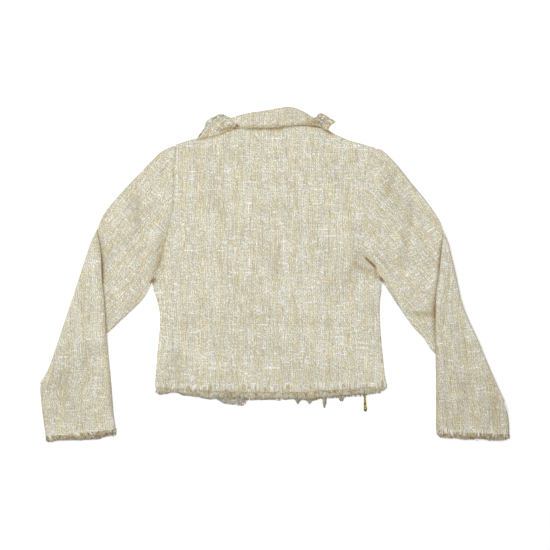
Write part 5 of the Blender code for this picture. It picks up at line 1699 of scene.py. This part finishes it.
back_hem = curve_through(HEM_BACK)
over_hem, over_ends = past_hem(FALL_OFF), past_hem(ENDS_FALL_OFF)
back_pieces = [
    hem_of_back(),
    edge_loops("hem_back_loops", back_hem, BACK_WIDTH, over_hem, below(PUFF_TOP), below(PUFF_LOW)),
]
back_pieces += [
    couched(f"hem_back_{part}", back_hem, BACK_WIDTH, *row)
    for part, *row in (
        # level, offset, number, shortest, longest, spread, tones, patches, last share of the hem
        ("rope", over_hem, below(PUFF_LOW, 1.2), 50, 4.0, 14.0, 2.4, ROPE_TONES, PATCH, 0.96),
        ("edge", over_ends, past_edge(FRINGE_DROP, 4.2), 64, 4.0, 12.0, 2.4, FRINGE_TONES, PATCH, 0.95),
        ("outline", over_ends, past_edge(FRINGE_DROP, 0.9), 60, 7.0, 22.0, 0.5, OUTLINE_TONES, PATCH, 0.95),
    )
]

# Frayed points of the overlap's hem: each one's tip and the x of both ends of its root
POINTS = (
    # tip_x, tip_y, left_x, right_x, level of the root, bluntness
    (42.6, -239, 34.5, 51, -229, 1.0),
    (63.6, -238.5, 52.5, 76, -228, 1.0),
    (92, -245, 86.5, 96.5, -228, 2.4),
    (123.2, -232.6, 116, 130, -225, 3.0),
)
POINT_ROOT, POINT_THREADS = -217.0, 70
FRONT_LEVEL = 0.85  # of the ends that lie on the surface
FRONT_DROP = (
    (-219, 3), (-116, 2.5), (-101, 3.5), (-91, 5.0), (-73, 3.8), (-60, 6.0), (-52, 4.0), (40, 9.0),
    (160, 9.5), (206, 4.0),
)


def point_paths(tip_x, tip_y, left, right, root, blunt, steps):
    """Threads of one frayed point, whose ends draw together towards its tip."""
    count = POINT_THREADS
    start = random.uniform(left, right, count)
    aside = np.where(start < tip_x, (tip_x - start) / (tip_x - left), (start - tip_x) / (right - tip_x))
    far = tip_y + (root - tip_y) * aside**blunt + random.normal(0, 0.5, count)
    end = tip_x + (start - tip_x) * 0.75 + random.normal(0, 0.3, count)
    t = np.linspace(0, 1, steps)
    x = start[:, None] + (end - start)[:, None] * t**2 + random.normal(0, 0.2, (count, steps))
    y = POINT_ROOT + (far - POINT_ROOT)[:, None] * t
    return np.dstack([x, y, np.full(x.shape, FRONT_LEVEL) + random.uniform(0, 0.9, (count, 1))])


for name, node, tones in (
    ("front_left", "fringe_hem_left", GREY_TONES),
    ("front_right_overlap", "fringe_hem_overlap", POINT_TONES),
    ("front_right", "fringe_hem_right", FRINGE_TONES),
):
    hem = front_hems[name]
    length = float(np.linalg.norm(hem(1.0) - hem(0.0)))
    places, away = along_edge(hem, FRONT_SPACING, length, 0.01, 0.985)
    count = len(places)
    lengths = along_table(places[:, 0], FRONT_DROP) + random.normal(0, 0.4, count)
    level = random.uniform(0.7, 1.6, count)
    paths = lock_paths(places, away, level, lengths, np.full(count, FRONT_LEVEL), pull=0.3)
    if name == "front_right_overlap":
        paths = np.concatenate([paths, *(point_paths(*row, paths.shape[1]) for row in POINTS)])
    radii = random.uniform(0.30, 0.6, len(paths))
    tones = mottled(tones, paths, own=0.5)
    threads(f"{name}_ends", paths, radii, tones, yarn, nodes=[node], shade=(1.0, 0.7))

CUFF_DROP = {
    "left": (
        (-425, 7), (-416, 11.6), (-400, 9.4), (-372, 10.8), (-357, 12.8), (-327, 14.0), (-312, 10.8),
        (-300, 12.5), (-293, 9),
    ),
    "right": (
        (298, 8.5), (306, 12.5), (328, 12.6), (338, 10.8), (350, 12.6), (379, 10.8), (402, 12.6), (424, 11.6),
        (435, 7),
    ),
}
CUFF_SPAN = {"left": (-424.0, -293.5), "right": (299.5, 434.0)}  # outline that the ends stay within
CUFF_SHORTER, CUFF_LEVEL = 3.0, 0.9  # the lower layer's ends than the upper one's, and where they end
CUFF_STRAIGHT = 0.8  # how far they all hang in the same direction
CUFF_PATCH = 4.0
upper_columns = slice(SLEEVE_ACROSS + 3, 2 * SLEEVE_ACROSS + 3)


def cuff_threads(side):
    """Loose ends all round a cuff."""
    _, outer, _, _ = sleeves[side]
    around, behind = (np.vstack([ring, ring[:1]]) for ring in (outer[-1], outer[-4]))
    run = run_along(around)
    count = int(run[-1] / CUFF_SPACING)
    at = np.sort(random.uniform(0, run[-1], count))
    places, backs = (
        np.stack([np.interp(at, run, line[:, k]) for k in range(3)], axis=1) for line in (around, behind)
    )
    away = unit((places - backs)[:, :2])
    away = unit((1 - CUFF_STRAIGHT) * away + CUFF_STRAIGHT * unit(away.mean(axis=0)))
    top = places[:, 2] > (FOLD_LOFT + CLOTH) / 2
    level = places[:, 2] + np.where(top, -random.uniform(0.6, 1.7, count), random.uniform(0.3, 1.6, count))
    lengths = along_table(places[:, 0], CUFF_DROP[side]) + random.normal(0, 0.5, count)
    drop = np.where(top, random.uniform(FRINGE_LOW, FRINGE_HIGH, count), CUFF_LEVEL)
    paths = lock_paths(places[:, :2], away, level, lengths - np.where(top, 0.0, CUFF_SHORTER), drop)
    paths[..., 0] = np.clip(paths[..., 0], *CUFF_SPAN[side])
    radii = random.uniform(*FRINGE_RADII, count)
    tones, node = mottled(CUFF_TONES, paths, CUFF_PATCH), f"fringe_cuff_{side}"
    return threads(f"cuff_{side}_ends", paths, radii, tones, yarn, nodes=[node], shade=(1.0, 0.45))


cuff_pieces = {side: [cuff_threads(side)] for side in ("left", "right")}
trees = {side: tree_of(sleeves[side][0]) for side in sleeves}
trees |= {"back": tree_of(back), "collar": tree_of(collar)}
CUFF_LEAN = {"left": 2.2, "right": 0.6}  # how far the loops' lower ends lie to the right of their upper ones
PUFF_REACH, ROPE_AT = (-6.5, 7.0), 6.0  # of a cuff's loops and couched yarns, from its edge
for side, pieces in cuff_pieces.items():
    upper = sleeves[side][1][-1][upper_columns][:, :2]
    curve = curve_through(upper[np.argsort(upper[:, 0])][::4])
    length = float(np.linalg.norm(curve(1.0) - curve(0.0)))
    level = over_tree(trees[side])
    pieces.append(edge_loops(
        f"cuff_{side}_loops", curve, length, level, even(PUFF_REACH[0]), even(PUFF_REACH[1]),
        pitch=4.4, share=0.50, tones=CUFF_LOOP_TONES, lean=CUFF_LEAN[side],
    ))
    for part, *row in (
        # offset, number, shortest, longest, spread, tones, patches
        ("rope", even(ROPE_AT), 14, 4.0, 10.0, 1.6, ROPE_TONES, PATCH),
        ("edge", past_edge(CUFF_DROP[side], 3.4), 26, 3.0, 7.0, 2.0, CUFF_TONES, CUFF_PATCH),
        ("outline", past_edge(CUFF_DROP[side], 0.9), 22, 6.0, 18.0, 0.5, OUTLINE_TONES, PATCH),
    ):
        pieces.append(couched(f"cuff_{side}_{part}", curve, length, level, *row))


# ---- collar's frayed edges

fall = curve_through(np.array(COLLAR, float)[:, 4:6])
FALL_LENGTH, FALL_THREAD_STEPS = 165.0, 4
places, away = along_edge(fall, FRONT_SPACING, FALL_LENGTH, 0.004, 0.996)
count = len(places)
level = loft_at(places) + raised_at(places) + CLOTH + FALL_CLEAR + random.uniform(0.4, 1.6, count)
shift, lengths = locked(places, away, random.uniform(1.6, 4.0, count), pull=0.5)
roots = np.column_stack([places - away * 1.0, level])
paths = hanging(roots, away, lengths, level - 0.2, bow=0.3, steps=FALL_THREAD_STEPS)
paths[..., :2] += shift[:, None] * np.linspace(0, 1, FALL_THREAD_STEPS)[:, None]
collar_pieces = [
    threads(
        "collar_edge_ends", paths, random.uniform(0.3, 0.55, count), mottled(BETWEEN_TONES, paths), yarn,
        nodes=["fringe_collar"], shade=(1.0, 0.8),
    ),
    couched(
        "collar_edge_rope", fall, FALL_LENGTH, over_tree(trees["collar"], reach=6.0), even(-2.2), 34,
        5.0, 20.0, 2.6, COLLAR_TONES, thickness=(0.35, 0.7),
    ),
]

# Yarns that lie along the collar ends' free edges, and thicker brown and ochre ones on the edges themselves:
# the end, the line and its length, then offset, spread, number and tones for each row of yarns
END_LINES = (
    (0, END_LEFT_TIP, 82.0, ((4.6, 2.2, 26, END_TONES), (0.6, 0.5, 11, EDGE_TONES))),
    (0, END_LEFT_ROOT, 78.0, ((-1.0, 0.8, 12, EDGE_TONES),)),
    (0, ((-106, 268), (-90, 271), (-74, 275)), 33.0, ((0.0, 3.0, 18, ROPE_TONES),)),
    (1, END_RIGHT_TIP, 49.0, ((7.5, 4.0, 28, END_RIGHT_TONES), (0.6, 0.5, 10, ROPE_TONES))),
    (1, END_RIGHT_SIDES[1], 34.0, ((0.9, 0.7, 10, EDGE_TONES),)),
)
end_yarns = {piece.name: [] for piece in collar_ends}
for end, line, length, rows in END_LINES:
    name, level = collar_ends[end].name, over_tree(tree_of(collar_ends[end]), reach=5.0)
    for offset, spread, number, tones in rows:
        end_yarns[name].append(couched(
            f"{name}_yarns_{len(end_yarns[name])}", curve_through(line), length, level, even(offset), number,
            5.0, 16.0, spread, tones, thickness=(0.35, 0.65),
        ))

# ---- slubs on the surface

SLUB_LENGTH, SLUB_RADIUS = (5.0, 15.0), (0.22, 0.48)
SLUB_RISE = np.array([-0.9, 0.0, 0.25, 0.0, -0.9])  # of its points above the cloth, in radii
SLUB_STEEPEST = 1.6  # most that the cloth may rise under one
SLUBS_ALONG = 0.58  # share of them that lie along the warp
BACK_SLUBS, UPPER_SLUBS, LOWER_SLUBS = 120, 30, 40
BODY_WARP = np.array([0.0, 1.0])


def slubs(name, tree, starts, directions):
    """Yarns that come up out of the weave, lie on it for a stretch and go back in."""
    steps = len(SLUB_RISE)
    paths, radii = [], []
    for (x, y), (dx, dy) in zip(starts, directions):
        length, bend = random.uniform(*SLUB_LENGTH), random.uniform(-0.4, 0.4)
        points = []
        for t in np.linspace(-0.5, 0.5, steps):
            px = x + dx * t * length - dy * bend * (1 - 4 * t * t)
            py = y + dy * t * length + dx * bend * (1 - 4 * t * t)
            z = on_top(tree, px, py)
            if z is None:
                break
            points.append((px, py, z))
        if len(points) < steps or np.ptp(np.array(points)[:, 2]) > SLUB_STEEPEST:
            continue
        radii.append(random.uniform(*SLUB_RADIUS))
        paths.append(np.array(points) + np.column_stack([np.zeros((steps, 2)), SLUB_RISE * radii[-1]]))
    return threads(name, paths, radii, picked(SLUB_TONES, len(paths)), yarn, taper=0.5)


def slub_directions(count, along):
    chosen = random.random(count) < SLUBS_ALONG
    turned = random.normal(0, 0.05, count)
    base = np.where(chosen[:, None], along, left_of(along))
    return base * np.cos(turned)[:, None] + left_of(base) * np.sin(turned)[:, None]


def some_of(points, count):
    flat = points.reshape(-1, points.shape[-1])
    chosen = flat[random.choice(len(flat), count)]
    return chosen[:, :2] + random.uniform(-2, 2, (count, 2))


starts = some_of(back_top_points, BACK_SLUBS)
back_pieces.append(slubs("back_slubs", trees["back"], starts, slub_directions(BACK_SLUBS, BODY_WARP)))
for side, pieces in cuff_pieces.items():
    _, outer, stage_of, sections = sleeves[side]
    upper_rows = outer[stage_of == "upper"][:, upper_columns]
    lower_rows = outer[stage_of == "lower"][:, :SLEEVE_ACROSS]
    starts = np.vstack([some_of(upper_rows, UPPER_SLUBS), some_of(lower_rows, LOWER_SLUBS)])
    along = sleeve_axes(sections)[1]
    directions = np.vstack([slub_directions(UPPER_SLUBS, along), slub_directions(LOWER_SLUBS, BODY_WARP)])
    pieces.append(slubs(f"sleeve_{side}_slubs", trees[side], starts, directions))

# ---- zip: two tapes with teeth, brass slider and pull tab

TAPE_STEPS, TAPE_ACROSS, TAPE_THICK = 160, 7, 0.8
TAPE_CLEAR = 0.6  # between the tape and the sides of its slot
TOOTH_PITCH, TOOTH_REACH, TOOTH_RADIUS, TOOTH_LEVEL = 2.1, 1.6, 0.72, 1.05


def zip_half(name, line, start, end):
    across = (ZIP_SLOT - TAPE_CLEAR) * np.linspace(-1, 1, TAPE_ACROSS)
    edges = [offset_curve(line, distance)(np.linspace(start, end, TAPE_STEPS)) for distance in across]
    inner = np.stack([np.column_stack([edge, raised_at(edge)]) for edge in edges], axis=1)
    run = run_along(inner[:, TAPE_ACROSS // 2])
    grain = np.dstack(np.meshgrid(across, run))
    outer = inner + np.array([0, 0, TAPE_THICK])
    cloth_piece(name, inner, outer, grain, tape, kind="tape")
    count = int(run[-1] / TOOTH_PITCH)
    tooth_shares = start + (end - start) * (np.arange(count) + 0.5) / count
    middle = line(tooth_shares)
    side, level = unit(offset_curve(line, 1.0)(tooth_shares) - middle), raised_at(middle) + TOOTH_LEVEL
    reaches = (-TOOTH_REACH, 0.0, TOOTH_REACH)
    paths = np.stack([np.column_stack([middle + side * reach, level]) for reach in reaches], axis=1)
    colours = np.full((count, 3), 0.4)
    threads(f"{name}_teeth", paths, np.full(count, TOOTH_RADIUS), colours, brass, taper=0.9)


zip_half("zip_right", curve_through(ZIP_LINE), 0.02, 0.985)
zip_half("zip_left", offset_curve(curve_through(FRONT_EDGE_LEFT), ZIP_SLOT + 0.1), 0.42, 0.985)
for node in ("zip_slider", "zip_pull"):
    piece = frame["nodes"][node]
    piece.data.materials.clear()
    piece.data.materials.append(brass)


# ---------------------------------------------------------------- size of each sheet's flat cut, measured and not kept


def cut_size(piece):
    """Width across and length along the grain of a piece's flat cut."""
    grain = np.empty(len(piece.data.loops) * 2, np.float32)
    piece.data.uv_layers["grain"].uv.foreach_get("vector", grain)
    extent = np.ptp(grain.reshape(-1, 2), axis=0)
    return float(extent[0]), float(extent[1])


def declare(piece):
    cut_size(piece)


declare(back)
for piece, name in zip(fronts, front_hems):
    declare(piece)
for side in ("left", "right"):
    declare(sleeves[side][0])
declare(collar)
for piece in collar_ends:
    declare(piece)


# ---------------------------------------------------------------- floor, light and camera

FLOOR_HALF, FLOOR_LEVEL = 3.0, -0.0003
DAYLIGHT = 0.34  # soft light from all round
CAMERA_HEIGHT = 3.2
FRAME_WIDTH = 1.0175  # of the floor that the camera sees
SENSOR = 36.0


def floor_material():
    s = Shader("pale_floor")
    grain = s.noise(s.node("TexCoord", output="Object"), 90.0, 3.0)
    colour = s.ramp(grain, ((0.0, (0.90, 0.90, 0.90)), (1.0, (0.93, 0.93, 0.93))))
    return s.finish(colour, grain, 0.0001, roughness=0.9, strength=0.1)


mesh = bpy.data.meshes.new("floor")
corners = [(x * FLOOR_HALF, y * FLOOR_HALF, 0) for x, y in ((-1, -1), (1, -1), (1, 1), (-1, 1))]
mesh.from_pydata(corners, [], [(0, 1, 2, 3)])
floor = bpy.data.objects.new("floor", mesh)
bpy.context.scene.collection.objects.link(floor)
mesh.materials.append(floor_material())
floor.location.z = FLOOR_LEVEL


def add_area_light(name, place, size, power):
    data = bpy.data.lights.new(name, "AREA")
    data.shape, data.size, data.energy = "DISK", size, power
    light = bpy.data.objects.new(name, data)
    light.location = place
    light.rotation_euler = Vector(place).to_track_quat("Z", "Y").to_euler()
    bpy.context.scene.collection.objects.link(light)


add_area_light("overhead_light", (-0.2, 0.3, 2.6), 2.4, 68.5)
add_area_light("key_light", (-1.3, 1.4, 1.5), 0.8, 12.0)
world = bpy.data.worlds.new("studio")
bpy.context.scene.world = world
world.use_nodes = True
world.node_tree.nodes["Background"].inputs["Color"].default_value = (1.0, 1.0, 1.0, 1.0)
world.node_tree.nodes["Background"].inputs["Strength"].default_value = DAYLIGHT
bpy.context.scene.view_settings.view_transform = "Standard"

lens = bpy.data.cameras.new("camera")
lens.sensor_width = SENSOR
lens.lens = SENSOR * CAMERA_HEIGHT / FRAME_WIDTH
camera = bpy.data.objects.new("camera", lens)
camera.location = (0, 0, CAMERA_HEIGHT)
bpy.context.scene.collection.objects.link(camera)
bpy.context.scene.camera = camera
